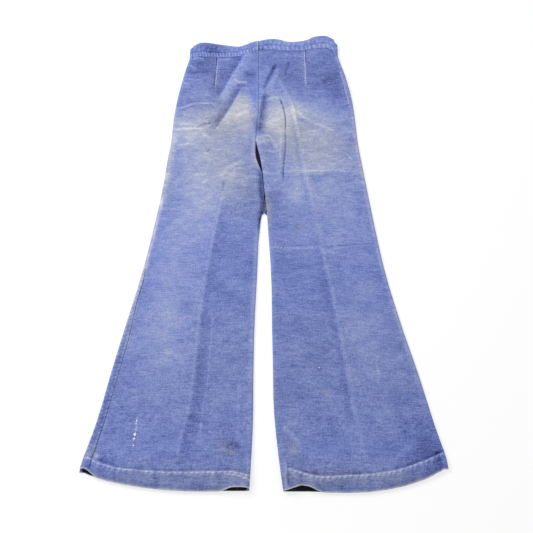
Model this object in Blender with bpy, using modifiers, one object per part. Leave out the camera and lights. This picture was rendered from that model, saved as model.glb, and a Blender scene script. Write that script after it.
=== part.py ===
"""High-waisted flare jeans, laid flat with the back up.

Metres, +Z up, +Y towards the waist, and the surface that they lie on at Z = 0. The two back
panels lie on top and the two front panels underneath, and they meet at half height along the
outseams and inseams. Left is the wearer's left, at -X.
"""

import math

import bmesh
import bpy
from mathutils import Vector

# Cloth and seams
WALL = 0.0013  # denim, one layer with its seam allowance pressed flat
BAND_WALL = 0.0020  # the waistband is two layers
HEM_WALL = 0.0016  # the turn-up is two layers
FELL_WALL = 0.0010  # the cloth folded over at a felled seam
SEAM_GAP = 0.0003  # between two pieces at a seam
HEM_CLEARANCE = 0.0004  # between a leg and the turn-up inside it
FOLD_REACH = 0.0045  # how far the rounding of a side edge reaches in from it
EDGE_LIP = 0.0004  # the upright strip at a side edge, where front and back meet

# Levels along Y
HEM_LEVEL = -0.549
CROTCH_LEVEL = 0.232
WAIST_LEVEL = 0.491
HEM_DEPTH = 0.033
BAND_WIDTH = 0.033
CROTCH_BLEND = 0.034  # above the crotch, where the inseam rounds off into the flat seat seam
HEM_BLEND = 0.30  # how far up the leg the bow of the hem is felt
WAIST_BLEND = 0.11  # how far down the seat the waves of the waist are felt

# The seam up the middle of the seat from the crotch: y, x
SEAT_SEAM = [
    (0.232, -0.0210),
    (0.293, -0.0170),
    (0.364, -0.0140),
    (0.438, -0.0145),
    (0.530, -0.0150),
]

# The inner edge of each leg from the hem to the crotch: y, x
INSEAMS = {
    "left": [
        (-0.549, -0.0280),
        (-0.486, -0.0245),
        (-0.418, -0.0220),
        (-0.322, -0.0220),
        (-0.220, -0.0205),
        (-0.112, -0.0160),
        (0.003, -0.0115),
        (0.040, -0.0050),
        (0.070, -0.0030),
        (0.120, -0.0055),
        (0.158, -0.0090),
        (0.190, -0.0205),
        (0.232, -0.0210),
    ],
    "right": [
        (-0.549, 0.0350),
        (-0.486, 0.0265),
        (-0.394, 0.0180),
        (-0.322, 0.0170),
        (-0.246, 0.0155),
        (-0.112, 0.0140),
        (0.004, 0.0070),
        (0.065, 0.0035),
        (0.142, -0.0040),
        (0.165, -0.0065),
        (0.196, -0.0125),
        (0.232, -0.0210),
    ],
}

# The outer edge of each side from the hem to the waist: y, x
OUTSEAMS = {
    "left": [
        (-0.549, -0.3510),
        (-0.515, -0.3490),
        (-0.486, -0.3430),
        (-0.418, -0.3250),
        (-0.322, -0.3070),
        (-0.220, -0.2860),
        (-0.112, -0.2630),
        (0.003, -0.2445),
        (0.100, -0.2315),
        (0.190, -0.2240),
        (0.232, -0.2190),
        (0.293, -0.2175),
        (0.364, -0.2100),
        (0.438, -0.1970),
        (0.472, -0.1890),
        (0.492, -0.1850),
        (0.513, -0.1838),
    ],
    "right": [
        (-0.549, 0.3510),
        (-0.515, 0.3485),
        (-0.486, 0.3450),
        (-0.441, 0.3330),
        (-0.322, 0.3070),
        (-0.246, 0.2880),
        (-0.112, 0.2590),
        (0.004, 0.2430),
        (0.142, 0.2270),
        (0.232, 0.2175),
        (0.293, 0.2150),
        (0.364, 0.2090),
        (0.438, 0.1950),
        (0.456, 0.1895),
        (0.474, 0.1835),
        (0.500, 0.1820),
        (0.520, 0.1800),
    ],
}

# The hem's edge: share of the way from inseam to outseam, y of the back, y of the front
HEM_EDGES = {
    "left": [
        (0.00, -0.543, -0.549),
        (0.12, -0.543, -0.549),
        (0.25, -0.547, -0.549),
        (0.42, -0.546, -0.548),
        (0.56, -0.542, -0.544),
        (0.72, -0.535, -0.537),
        (0.86, -0.523, -0.528),
        (1.00, -0.509, -0.516),
    ],
    "right": [
        (0.00, -0.547, -0.550),
        (0.08, -0.540, -0.550),
        (0.17, -0.541, -0.550),
        (0.25, -0.549, -0.551),
        (0.46, -0.550, -0.551),
        (0.65, -0.542, -0.544),
        (0.82, -0.529, -0.531),
        (1.00, -0.507, -0.509),
    ],
}

# The back of the waist from left to right: x, then y and height of the seam, then of the top edge
WAIST_LINE = [
    (-0.185, 0.478, 0.0080, 0.511, 0.0090),
    (-0.168, 0.481, 0.0090, 0.517, 0.0180),
    (-0.150, 0.481, 0.0090, 0.519, 0.0190),
    (-0.124, 0.480, 0.0080, 0.518, 0.0150),
    (-0.095, 0.480, 0.0080, 0.517, 0.0110),
    (-0.064, 0.482, 0.0100, 0.516, 0.0080),
    (-0.044, 0.489, 0.0130, 0.523, 0.0095),
    (-0.027, 0.495, 0.0130, 0.530, 0.0120),
    (-0.015, 0.498, 0.0130, 0.532, 0.0110),
    (0.000, 0.500, 0.0120, 0.535, 0.0120),
    (0.020, 0.502, 0.0110, 0.537, 0.0130),
    (0.036, 0.501, 0.0100, 0.536, 0.0120),
    (0.055, 0.499, 0.0110, 0.532, 0.0080),
    (0.078, 0.499, 0.0110, 0.532, 0.0080),
    (0.104, 0.501, 0.0100, 0.536, 0.0085),
    (0.118, 0.505, 0.0090, 0.542, 0.0120),
    (0.132, 0.508, 0.0090, 0.545, 0.0135),
    (0.156, 0.510, 0.0090, 0.546, 0.0135),
    (0.170, 0.504, 0.0080, 0.541, 0.0115),
    (0.182, 0.486, 0.0080, 0.519, 0.0090),
]

# The front of the waist, straight from side to side: x, y of the seam
FRONT_WAIST = [(-0.185, 0.478), (0.182, 0.486)]

# How high the back lies above the surface: y, height of its upper face
LOFT = [
    (-0.552, 0.0095),
    (-0.505, 0.0085),
    (-0.455, 0.0060),
    (-0.300, 0.0052),
    (0.232, 0.0052),
    (0.400, 0.0060),
    (0.491, 0.0080),
    (0.560, 0.0080),
]

# Largest folds of the back: start x and y, end x and y, half width, height
FOLDS = [
    (-0.052, 0.432, -0.112, 0.282, 0.011, 0.0030),
    (-0.070, 0.432, -0.128, 0.300, 0.009, -0.0011),
    (0.030, 0.448, -0.002, 0.372, 0.009, 0.0022),
    (0.040, 0.372, 0.044, 0.150, 0.009, 0.0028),
    (0.060, 0.350, 0.170, 0.292, 0.014, 0.0020),
    (-0.018, 0.236, 0.056, 0.214, 0.007, 0.0022),
    (-0.200, 0.345, -0.110, 0.352, 0.010, 0.0018),
    (0.080, 0.215, 0.110, 0.040, 0.010, 0.0015),
    (0.110, 0.040, 0.195, -0.510, 0.010, 0.0015),
    (-0.095, 0.115, -0.121, -0.100, 0.010, 0.0013),
    (-0.121, -0.100, -0.168, -0.510, 0.010, 0.0013),
]

FOLD_FADE = 4  # a fold fades over the last quarter of its length
FOLD_END = 0.15

# Corners of the hems that stand open: x, y, radius, height
OPEN_CORNERS = [
    (-0.050, -0.545, 0.040, 0.0024),
    (-0.330, -0.518, 0.035, 0.0022),
    (0.075, -0.545, 0.042, 0.0026),
]

# Width of the felled seam beside each outseam: y, width
FELL_WIDTH = {
    "left": [
        (-0.549, 0.0175),
        (-0.486, 0.0160),
        (-0.418, 0.0115),
        (-0.050, 0.0095),
        (0.530, 0.0095),
    ],
    "right": [
        (-0.549, 0.0110),
        (0.300, 0.0095),
        (0.530, 0.0090),
    ],
}

# Where each felled strip shows: y of its lower end, y of its upper end
FELL_SHOWS = {"left": (-0.516, -0.070), "right": (0.300, 0.462)}

# Rows of a panel from the hem up: y of the end of a stretch, rows on the back, rows on the front
ROW_STRETCHES = [
    (HEM_LEVEL + HEM_DEPTH, 2, 2),
    (0.185, 20, 13),
    (0.266, 5, 4),
    (WAIST_LEVEL, 8, 6),
]
FOLD_STEPS = 3  # faces round each side edge
BACK_SPAN_STEPS = 11
FRONT_SPAN_STEPS = 8
BAND_ROWS = 4
BAND_TIP = 1.5  # the band leaves the seam level with the seat and tips more towards its top edge

# Waistband lap and the fastenings at the centre front
LAP_LENGTH = 0.030
LAP_RISE = 0.0034  # the underlap lies over the other end of the band and the hook between them
LAP_RAMP = 0.014
LAP_START = 0.0012  # the underlap is at its full height this far before the centre front
HOOK_SIZE = (0.012, 0.009, 0.0008)
ZIP_LENGTH = 0.175
TAPE_WIDTH = 0.025
TAPE_WALL = 0.0008
ZIP_BELOW_BAND = 0.002
CHAIN_WIDTH = 0.005
CHAIN_HEIGHT = 0.0015
SLIDER_SIZE = (0.009, 0.012, 0.0022)

# Middle of the laid-out garment in the tables' own X and Y, which becomes the origin
MIDDLE = (-0.0006, -0.0026)

OUTWARD = {"left": -1.0, "right": 1.0}
DENIM = (0.155, 0.175, 0.420)
FADED_DENIM = (0.215, 0.235, 0.450)
STEEL = (0.55, 0.55, 0.56)
BRASS = (0.45, 0.38, 0.24)
CLOTH_ROUGHNESS = 0.92
METAL_ROUGHNESS = 0.4
SMOOTH_UNDER = math.radians(50)


def read_curve(rows, where, column):
    """A column of a table at a place along its first column, on a smooth curve through the rows."""
    if where <= rows[0][0]:
        return rows[0][column]
    if where >= rows[-1][0]:
        return rows[-1][column]
    i = next(k for k in range(1, len(rows)) if where <= rows[k][0])
    near = [rows[max(0, min(k, len(rows) - 1))] for k in (i - 2, i - 1, i, i + 1)]
    before, low, high, after = near
    span = high[0] - low[0]
    share = (where - low[0]) / span
    low_slope = (high[column] - before[column]) / max(high[0] - before[0], 1e-9)
    high_slope = (after[column] - low[column]) / max(after[0] - low[0], 1e-9)
    square, cube = share * share, share * share * share
    return (
        (2 * cube - 3 * square + 1) * low[column]
        + (cube - 2 * square + share) * span * low_slope
        + (3 * square - 2 * cube) * high[column]
        + (cube - square) * span * high_slope
    )


def ease(share):
    """0 to 1 with a soft start and end."""
    share = min(max(share, 0.0), 1.0)
    return share * share * (3 - 2 * share)


def inner_edge(side, y):
    """x of the seat seam, or of the inseam below the crotch."""
    rows = SEAT_SEAM if y >= CROTCH_LEVEL else INSEAMS[side]
    return read_curve(rows, y, 1)


def outer_edge(side, y):
    return read_curve(OUTSEAMS[side], y, 1)


def fold_height(x, y):
    """How far the folds and open corners lift the back here."""
    total = 0.0
    for start_x, start_y, end_x, end_y, half_width, height in FOLDS:
        along = Vector((end_x - start_x, end_y - start_y))
        away = Vector((x - start_x, y - start_y))
        share = min(max(away.dot(along) / along.length_squared, 0.0), 1.0)
        distance = (away - share * along).length
        taper = ease(FOLD_FADE * min(share, 1 - share) + FOLD_END)
        total += height * taper * math.exp(-((distance / half_width) ** 2))
    for corner_x, corner_y, radius, height in OPEN_CORNERS:
        distance = math.hypot(x - corner_x, y - corner_y)
        total += height * math.exp(-((distance / radius) ** 2))
    return total


def back_height(x, y):
    """Height of the back's upper face, which follows the waist's waves near the waist."""
    waist_seam = read_curve(WAIST_LINE, x, 1)
    nearness = ease(1 - (waist_seam - y) / WAIST_BLEND)
    rise = read_curve(WAIST_LINE, x, 2) - read_curve(LOFT, WAIST_LEVEL, 1)
    return read_curve(LOFT, y, 1) + nearness * rise + (1 - nearness) * fold_height(x, y)


def row_levels(column):
    """Levels of a panel's rows from the hem to the waist seam."""
    levels = [HEM_LEVEL]
    for stretch in ROW_STRETCHES:
        start, end, steps = levels[-1], stretch[0], stretch[column]
        levels += [start + (end - start) * (k + 1) / steps for k in range(steps)]
    return levels


def panel_columns(span_steps):
    """Columns across a panel: (kind, value). A fold column holds its turn from the edge's upright."""
    turns = [90 * k / FOLD_STEPS for k in range(FOLD_STEPS + 1)]
    inner = [("inner lip", 0)] + [("inner fold", turn) for turn in turns]
    span = [("span", k / span_steps) for k in range(1, span_steps + 1)]
    outer = [("outer fold", turn) for turn in reversed(turns)] + [("outer lip", 0)]
    return inner + span + outer


def seat_joined(y):
    """1 along the seat seam, where left and right are sewn together, and 0 along the legs."""
    return ease((y - CROTCH_LEVEL) / CROTCH_BLEND)


def share_across(side, level, column):
    """How far across its panel a column lies, 0 at the seat seam or inseam and 1 at the outseam."""
    kind, value = column
    if kind != "span":
        return 0.0 if kind.startswith("inner") else 1.0
    width = abs(outer_edge(side, level) - inner_edge(side, level))
    fell = read_curve(FELL_WIDTH[side], level, 1)
    return (FOLD_REACH + value * (width - FOLD_REACH - fell)) / width


def row_y(side, layer, level, share):
    """A row bows with the hem below and with the waist above."""
    edge_column = 1 if layer == "back" else 2
    hem_bow = read_curve(HEM_EDGES[side], share, edge_column) - HEM_LEVEL
    hem_weight = ease(1 - (level - HEM_LEVEL - HEM_DEPTH) / HEM_BLEND)
    inner = inner_edge(side, WAIST_LEVEL)
    waist_x = inner + (outer_edge(side, WAIST_LEVEL) - inner) * share
    waist = WAIST_LINE if layer == "back" else FRONT_WAIST
    waist_bow = read_curve(waist, waist_x, 1) - WAIST_LEVEL
    waist_weight = ease(1 - (WAIST_LEVEL - level) / WAIST_BLEND)
    return level + hem_bow * hem_weight + waist_bow * waist_weight


def tube_point(side, layer, level, column, depth=0.0):
    """A point of the flattened leg's surface, or of one that lies depth inside it."""
    kind, value = column
    outward = OUTWARD[side]
    y = row_y(side, layer, level, share_across(side, level, column))
    joined = seat_joined(y)
    inner = inner_edge(side, y) + outward * (0.5 * SEAM_GAP + depth)
    outer = outer_edge(side, y) - outward * depth
    reach = FOLD_REACH - depth
    fell = read_curve(FELL_WIDTH[side], y, 1)
    turn = math.radians(value) if kind.endswith("fold") else 0.0
    inset = reach * (1 - math.cos(turn))
    if kind.startswith("inner"):
        flat_step = 0.0 if kind == "inner lip" else EDGE_LIP * joined
        x = inner + outward * (inset + flat_step)
    elif kind.startswith("outer"):
        x = outer - outward * inset
    else:
        first = inner + outward * reach
        last = outer_edge(side, y) - outward * fell
        x = first + (last - first) * value
    edge_height = 0.5 * read_curve(LOFT, y, 1)
    if layer == "back":
        low = edge_height + 0.5 * SEAM_GAP
        high = back_height(x, y) - depth
        lip = EDGE_LIP
    else:
        low = edge_height - 0.5 * SEAM_GAP
        high = depth
        lip = -EDGE_LIP
    if kind == "span":
        z = high
    elif kind.endswith("lip"):
        z = low
    else:
        z = low + lip + (high - low - lip) * math.sin(turn)
    if kind.startswith("inner"):
        z += (high - z) * joined
    return Vector((x, y, z))


def grid_object(name, columns, rows, place, wall, outward_face, colour):
    """A sheet of cloth: a grid whose points place() sets, given its wall by Solidify."""
    mesh = bpy.data.meshes.new(name)
    sheet = bmesh.new()
    bmesh.ops.create_grid(sheet, x_segments=columns - 1, y_segments=rows - 1, size=0.5)
    for vert in sheet.verts:
        column = round((vert.co.x + 0.5) * (columns - 1))
        row = round((vert.co.y + 0.5) * (rows - 1))
        vert.co = place(column, row)
    sheet.normal_update()
    facing = sum(face.normal.z * face.calc_area() for face in sheet.faces)
    if facing * outward_face < 0:
        bmesh.ops.reverse_faces(sheet, faces=sheet.faces[:])
    sheet.to_mesh(mesh)
    sheet.free()
    return finish_cloth(name, mesh, wall, colour)


def finish_cloth(name, mesh, wall, colour):
    """Adds the wall, inside the outer face, and the material."""
    cloth = bpy.data.objects.new(name, mesh)
    jeans.objects.link(cloth)
    solidify = cloth.modifiers.new("wall", "SOLIDIFY")
    solidify.thickness = wall
    solidify.offset = -1.0
    solidify.use_even_offset = True
    mesh.materials.append(material(name, colour, CLOTH_ROUGHNESS, 0.0))
    mesh.shade_smooth()
    mesh.set_sharp_from_angle(angle=SMOOTH_UNDER)
    return cloth


def material(name, colour, roughness, metallic):
    made = bpy.data.materials.new(name)
    made.use_nodes = True
    shader = made.node_tree.nodes["Principled BSDF"]
    shader.inputs["Base Color"].default_value = (*colour, 1.0)
    shader.inputs["Roughness"].default_value = roughness
    shader.inputs["Metallic"].default_value = metallic
    return made


def leg_panel(side, layer):
    """One leg from hem to waist seam, back or front."""
    levels = row_levels(1 if layer == "back" else 2)
    columns = panel_columns(BACK_SPAN_STEPS if layer == "back" else FRONT_SPAN_STEPS)

    def place(column, row):
        return tube_point(side, layer, levels[row], columns[column])

    facing = 1.0 if layer == "back" else -1.0
    name = f"{layer}_panel_{side}"
    grid_object(name, len(columns), len(levels), place, WALL, facing, DENIM)


def hem_turn_up(side):
    """The turn-up: a ring inside the leg's mouth, as deep as the hem."""
    levels = [level for level in row_levels(1) if level <= HEM_LEVEL + HEM_DEPTH + 1e-6]
    columns = panel_columns(BACK_SPAN_STEPS)
    around = [("back", column) for column in columns]
    around += [("front", column) for column in reversed(columns)]
    mesh = bpy.data.meshes.new(f"hem_{side}")
    ring = bmesh.new()
    bmesh.ops.create_cone(
        ring, cap_ends=False, segments=len(around), radius1=1, radius2=1, depth=len(levels) - 1
    )
    uprights = [edge for edge in ring.edges if abs(edge.verts[0].co.z - edge.verts[1].co.z) > 0.5]
    bmesh.ops.subdivide_edges(ring, edges=uprights, cuts=len(levels) - 2)
    lowest = min(vert.co.z for vert in ring.verts)
    for vert in ring.verts:
        turn = math.atan2(vert.co.x, vert.co.y) / math.tau % 1.0
        layer, column = around[round(turn * len(around)) % len(around)]
        level = levels[round(vert.co.z - lowest)]
        vert.co = tube_point(side, layer, level, column, depth=WALL + HEM_CLEARANCE)
    bmesh.ops.recalc_face_normals(ring, faces=ring.faces[:])
    top_face = max(ring.faces, key=lambda face: face.calc_center_median().z)
    if top_face.normal.z < 0:
        bmesh.ops.reverse_faces(ring, faces=ring.faces[:])
    ring.to_mesh(mesh)
    ring.free()
    finish_cloth(f"hem_{side}", mesh, HEM_WALL, FADED_DENIM)


def felled_strip(side):
    """The cloth folded over at the outseam, where it shows: the panel's own points, moved out."""
    lowest, highest = FELL_SHOWS[side]
    levels = [level for level in row_levels(1) if lowest - 1e-6 <= level <= highest + 1e-6]
    columns = [("span", 1.0), ("outer fold", 90), ("outer fold", 60)]
    lift = SEAM_GAP + FELL_WALL

    def place(column, row):
        point = tube_point(side, "back", levels[row], columns[column])
        tilt = math.radians(90 - columns[column][1]) if column == 2 else 0.0
        out = Vector((OUTWARD[side] * math.sin(tilt), 0.0, math.cos(tilt)))
        return point + lift * out

    name = f"outseam_fell_{side}"
    grid_object(name, len(columns), len(levels), place, FELL_WALL, 1.0, FADED_DENIM)


def band_stations(side):
    """Stations round half the waistband, from the centre back round the side to the centre front.

    They are the panels' own columns, so that the band follows the seam, and then the lap.
    """
    near_centre = [("inner fold", 0), ("inner fold", 30), ("inner fold", 60)]
    back = [column for column in panel_columns(BACK_SPAN_STEPS) if column not in near_centre]
    front = [column for column in panel_columns(FRONT_SPAN_STEPS) if column not in near_centre]
    stations = [("back", column) for column in back]
    stations += [("front", column) for column in reversed(front)]
    if side == "right":
        stations = stations[:-2]
        stations += [("lap", share) for share in (-1.0, -0.5, 0.0, 1.0)]
    return stations


def band_point(side, station, up):
    """A point of the waistband's outer face, from its seam, up 0, to its top edge, up 1."""
    layer, column = station
    outward = OUTWARD[side]
    side_row = WAIST_LINE[0] if side == "left" else WAIST_LINE[-1]
    if layer == "lap":
        centre = inner_edge(side, WAIST_LEVEL)
        past = LAP_RAMP * column if column < 0 else LAP_LENGTH * column
        x = centre - outward * past + outward * LAP_START
        z = LAP_RISE * ease(1 + column)
        seam_y = read_curve(FRONT_WAIST, x, 1) + SEAM_GAP
        return Vector((x, seam_y + (BAND_WIDTH - SEAM_GAP) * up, z))
    seam = tube_point(side, layer, WAIST_LEVEL, column)
    if layer == "front":
        return Vector((seam.x, seam.y + SEAM_GAP + (BAND_WIDTH - SEAM_GAP) * up, seam.z))
    mid_height = 0.5 * read_curve(LOFT, WAIST_LEVEL, 1)
    rounding = (seam.z - mid_height) / (back_height(seam.x, seam.y) - mid_height)
    top_y = read_curve(WAIST_LINE, seam.x, 3)
    top_z = mid_height + (read_curve(WAIST_LINE, seam.x, 4) - mid_height) * rounding
    y = seam.y + SEAM_GAP + (top_y - seam.y - SEAM_GAP) * up
    return Vector((seam.x, y, seam.z + (top_z - seam.z) * up**BAND_TIP))


def waistband(side):
    """One strip from the centre back to the centre front, where the right one goes on as the lap."""
    stations = band_stations(side)

    def place(column, row):
        return band_point(side, stations[column], row / (BAND_ROWS - 1))

    name = f"waistband_{side}"
    strip = grid_object(name, len(stations), BAND_ROWS, place, BAND_WALL, 1.0, FADED_DENIM)
    back_face = max(strip.data.polygons, key=lambda face: face.center.z)
    if back_face.normal.z < 0:
        strip.data.flip_normals()


def front_zip():
    """A zip behind the edges of the fronts: its tape and chain, with the closed slider at the top."""
    centre = inner_edge("left", WAIST_LEVEL)
    base = WALL + SEAM_GAP
    top = read_curve(FRONT_WAIST, centre, 1) - ZIP_BELOW_BAND
    half_tape, half_chain = TAPE_WIDTH / 2, CHAIN_WIDTH / 2
    profile = [
        (-half_tape, 0.0),
        (half_tape, 0.0),
        (half_tape, TAPE_WALL),
        (half_chain, TAPE_WALL),
        (half_chain, CHAIN_HEIGHT),
        (-half_chain, CHAIN_HEIGHT),
        (-half_chain, TAPE_WALL),
        (-half_tape, TAPE_WALL),
    ]
    mesh = bpy.data.meshes.new("front_zip")
    tape = bmesh.new()
    ends = [tape.verts.new((centre + x, top, base + z)) for x, z in profile]
    face = tape.faces.new(ends)
    swept = bmesh.ops.extrude_face_region(tape, geom=[face])
    moved = [item for item in swept["geom"] if isinstance(item, bmesh.types.BMVert)]
    bmesh.ops.translate(tape, verts=moved, vec=(0.0, -ZIP_LENGTH, 0.0))
    bmesh.ops.recalc_face_normals(tape, faces=tape.faces[:])
    tape.to_mesh(mesh)
    tape.free()
    zip_piece = bpy.data.objects.new("front_zip", mesh)
    jeans.objects.link(zip_piece)
    mesh.materials.append(material("front_zip", BRASS, METAL_ROUGHNESS, 1.0))
    middle = (centre, top - SLIDER_SIZE[1], base + SEAM_GAP + SLIDER_SIZE[2] / 2)
    slider = box("zip_slider", middle, SLIDER_SIZE, cutters, STEEL)
    slider.hide_render = True
    slider.display_type = "WIRE"
    union = zip_piece.modifiers.new("slider", "BOOLEAN")
    union.operation = "UNION"
    union.object = slider


def box(name, middle, size, collection, colour):
    mesh = bpy.data.meshes.new(name)
    shape = bmesh.new()
    bmesh.ops.create_cube(shape, size=1.0)
    bmesh.ops.scale(shape, vec=size, verts=shape.verts[:])
    bmesh.ops.translate(shape, vec=middle, verts=shape.verts[:])
    shape.to_mesh(mesh)
    shape.free()
    made = bpy.data.objects.new(name, mesh)
    collection.objects.link(made)
    mesh.materials.append(material(name, colour, METAL_ROUGHNESS, 1.0))
    return made


def waist_hook():
    """Trouser hook and bar, flat between the two lapped ends of the band."""
    centre = inner_edge("left", WAIST_LEVEL)
    middle_x = centre - LAP_LENGTH / 2
    middle_y = read_curve(FRONT_WAIST, middle_x, 1) + BAND_WIDTH / 2
    middle_z = BAND_WALL + SEAM_GAP + HOOK_SIZE[2] / 2
    box("waist_hook", (middle_x, middle_y, middle_z), HOOK_SIZE, jeans, STEEL)


for old in list(bpy.data.objects):
    bpy.data.objects.remove(old, do_unlink=True)
jeans = bpy.data.collections.new("flare_jeans")
cutters = bpy.data.collections.new("cutters")
bpy.context.scene.collection.children.link(jeans)
bpy.context.scene.collection.children.link(cutters)

for side_name in ("left", "right"):
    leg_panel(side_name, "back")
    leg_panel(side_name, "front")
    hem_turn_up(side_name)
    felled_strip(side_name)
    waistband(side_name)
front_zip()
waist_hook()

centring = bpy.data.objects.new("centring", None)
centring.location = (-MIDDLE[0], -MIDDLE[1], 0.0)
jeans.objects.link(centring)
for piece in [*jeans.objects, *cutters.objects]:
    if piece is not centring:
        piece.parent = centring
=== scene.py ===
"""The looks of a pair of high-waisted flare jeans, laid flat with the back up."""

import math

import bmesh
import bpy
import numpy as np
from mathutils import Matrix, Vector, noise
from mathutils.bvhtree import BVHTree


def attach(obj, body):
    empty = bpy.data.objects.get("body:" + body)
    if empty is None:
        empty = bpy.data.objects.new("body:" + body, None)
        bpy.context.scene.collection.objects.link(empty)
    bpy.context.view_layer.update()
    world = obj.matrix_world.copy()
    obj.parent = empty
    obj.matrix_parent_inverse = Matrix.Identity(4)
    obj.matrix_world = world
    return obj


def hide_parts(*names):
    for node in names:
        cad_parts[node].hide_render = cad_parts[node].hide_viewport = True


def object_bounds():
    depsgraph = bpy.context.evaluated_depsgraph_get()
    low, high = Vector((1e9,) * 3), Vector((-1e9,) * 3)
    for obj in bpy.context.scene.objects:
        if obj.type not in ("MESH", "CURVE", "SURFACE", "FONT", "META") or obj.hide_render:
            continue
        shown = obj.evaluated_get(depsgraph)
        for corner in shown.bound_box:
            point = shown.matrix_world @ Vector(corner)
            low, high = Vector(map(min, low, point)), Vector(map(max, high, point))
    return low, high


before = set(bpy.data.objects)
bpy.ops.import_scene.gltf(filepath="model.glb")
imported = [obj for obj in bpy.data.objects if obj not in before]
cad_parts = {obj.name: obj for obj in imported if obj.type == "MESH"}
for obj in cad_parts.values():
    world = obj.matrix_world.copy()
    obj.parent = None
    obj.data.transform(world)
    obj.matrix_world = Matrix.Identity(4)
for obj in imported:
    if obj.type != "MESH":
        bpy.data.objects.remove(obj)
cad_low, cad_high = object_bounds()

# The studio: a white table, a soft lamp high on the left and an even white room, with the
# camera standing at the hems and looking down on the jeans as in the photo.
TABLE_REACH = 6 * (cad_high - cad_low).y
TABLE_PAINT = 0.45
TABLE_GLOW = 0.6
TABLE_ROUGHNESS = 0.9
TABLE_GLOSS = 0.1
CAMERA_RISE = math.radians(65.5)
CAMERA_DISTANCE = 1.4516
CAMERA_AIM = Vector((0.0046, -0.0854, 0.0))
PHOTO_WIDTH = 533
FOCAL_PIXELS = 675
SENSOR_WIDTH = 36.0
ROOM_LIGHT = 0.62
LAMP_PLACE = Vector((-1.6, 1.2, 1.5))
LAMP_SIZE = 1.1
LAMP_POWER = 41.0

scene = bpy.context.scene
scene.view_settings.view_transform = "Standard"

floor_mesh = bpy.data.meshes.new("floor")
floor_shape = bmesh.new()
bmesh.ops.create_grid(floor_shape, x_segments=1, y_segments=1, size=TABLE_REACH)
floor_shape.to_mesh(floor_mesh)
floor_shape.free()
floor = bpy.data.objects.new("floor", floor_mesh)
scene.collection.objects.link(floor)
table_white = bpy.data.materials.new("table_white")
table_white.use_nodes = True
table_paint = table_white.node_tree.nodes["Principled BSDF"]
table_paint.inputs["Base Color"].default_value = (TABLE_PAINT, TABLE_PAINT, TABLE_PAINT, 1.0)
table_paint.inputs["Emission Color"].default_value = (1.0, 1.0, 1.0, 1.0)
table_paint.inputs["Emission Strength"].default_value = TABLE_GLOW
table_paint.inputs["Roughness"].default_value = TABLE_ROUGHNESS
table_paint.inputs["Specular IOR Level"].default_value = TABLE_GLOSS
floor_mesh.materials.append(table_white)

room = bpy.data.worlds.new("white_room")
room.use_nodes = True
room.node_tree.nodes["Background"].inputs["Color"].default_value = (1.0, 1.0, 1.0, 1.0)
room.node_tree.nodes["Background"].inputs["Strength"].default_value = ROOM_LIGHT
scene.world = room

lamp_data = bpy.data.lights.new("soft_lamp", "AREA")
lamp_data.size = LAMP_SIZE
lamp_data.energy = LAMP_POWER
lamp = bpy.data.objects.new("soft_lamp", lamp_data)
lamp.location = LAMP_PLACE
lamp.rotation_euler = (-LAMP_PLACE).to_track_quat("-Z", "Y").to_euler()
scene.collection.objects.link(lamp)

camera_data = bpy.data.cameras.new("camera")
camera_data.sensor_width = SENSOR_WIDTH
camera_data.lens = SENSOR_WIDTH * FOCAL_PIXELS / PHOTO_WIDTH
camera = bpy.data.objects.new("camera", camera_data)
camera_back = Vector((0.0, -math.cos(CAMERA_RISE), math.sin(CAMERA_RISE)))
camera.location = CAMERA_AIM + CAMERA_DISTANCE * camera_back
camera.rotation_euler = (math.pi / 2 - CAMERA_RISE, 0.0, 0.0)
scene.collection.objects.link(camera)
scene.camera = camera

# Faded indigo denim: dark warp threads worn down to their white cores, over a pale weft that
# shows as short level streaks. The dye has gone unevenly, most on the seat and the thighs.
DYE = [
    (0.00, (12, 15, 38)),
    (0.15, (48, 60, 116)),
    (0.30, (82, 98, 163)),
    (0.45, (109, 126, 193)),
    (0.60, (133, 149, 208)),
    (0.74, (157, 167, 209)),
    (0.86, (177, 184, 212)),
    (1.00, (200, 205, 221)),
]
# Noise in the dye: stretch, scale, detail, and how much it fades the dye
DYE_NOISE = {
    "weft": ((60.0, 430.0, 1.0), 1.0, 3.0, 0.42),
    "broad": ((18.0, 120.0, 1.0), 1.0, 2.0, 0.17),
    "warp": ((420.0, 70.0, 1.0), 1.0, 2.0, 0.20),
    "grain": ((1.0, 1.0, 1.0), 430.0, 1.0, 0.50),
    "blotch": ((1.0, 1.6, 1.0), 105.0, 3.0, 0.21),
    "cloud": ((1.0, 1.5, 1.0), 18.0, 4.0, 0.19),
}
NOISE_MIDDLE = 0.5
WEAVE_WEIGHTS = {"twill": 0.35, "blotch": 0.6, "warp": 0.4}  # how much each adds to the weft
TWILL_SCALE = 75.0
TWILL_WAVER = 1.5
# The same tint greys the painted shade in the gap between the legs and in their mouths.
DIRT_AND_SHADE_TINT = (0.995, 1.005, 1.03)  # dirt takes the blue out of the cloth and leaves it as light
MIX_A, MIX_B, MIX_RESULT = 6, 7, 2  # the colour sockets of a Mix node
CLOTH_ROUGHNESS = 0.93
CLOTH_GLOSS = 0.15
CLOTH_SHEEN = 0.12
CLOTH_SHEEN_ROUGHNESS = 0.6
WEAVE_STRENGTH = 0.5
PANEL_WEAVE_DEPTH = 0.0005


def paint(red, green, blue):
    """A colour as a paint chart gives it, from 0 to 255, made linear for the shader."""
    values = [channel / 255 for channel in (red, green, blue)]
    return tuple(v / 12.92 if v <= 0.04045 else ((v + 0.055) / 1.055) ** 2.4 for v in values)


def add_node(tree, kind, **settings):
    """A new node with its settings."""
    node = tree.nodes.new(kind)
    for name, value in settings.items():
        setattr(node, name, value)
    return node


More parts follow.
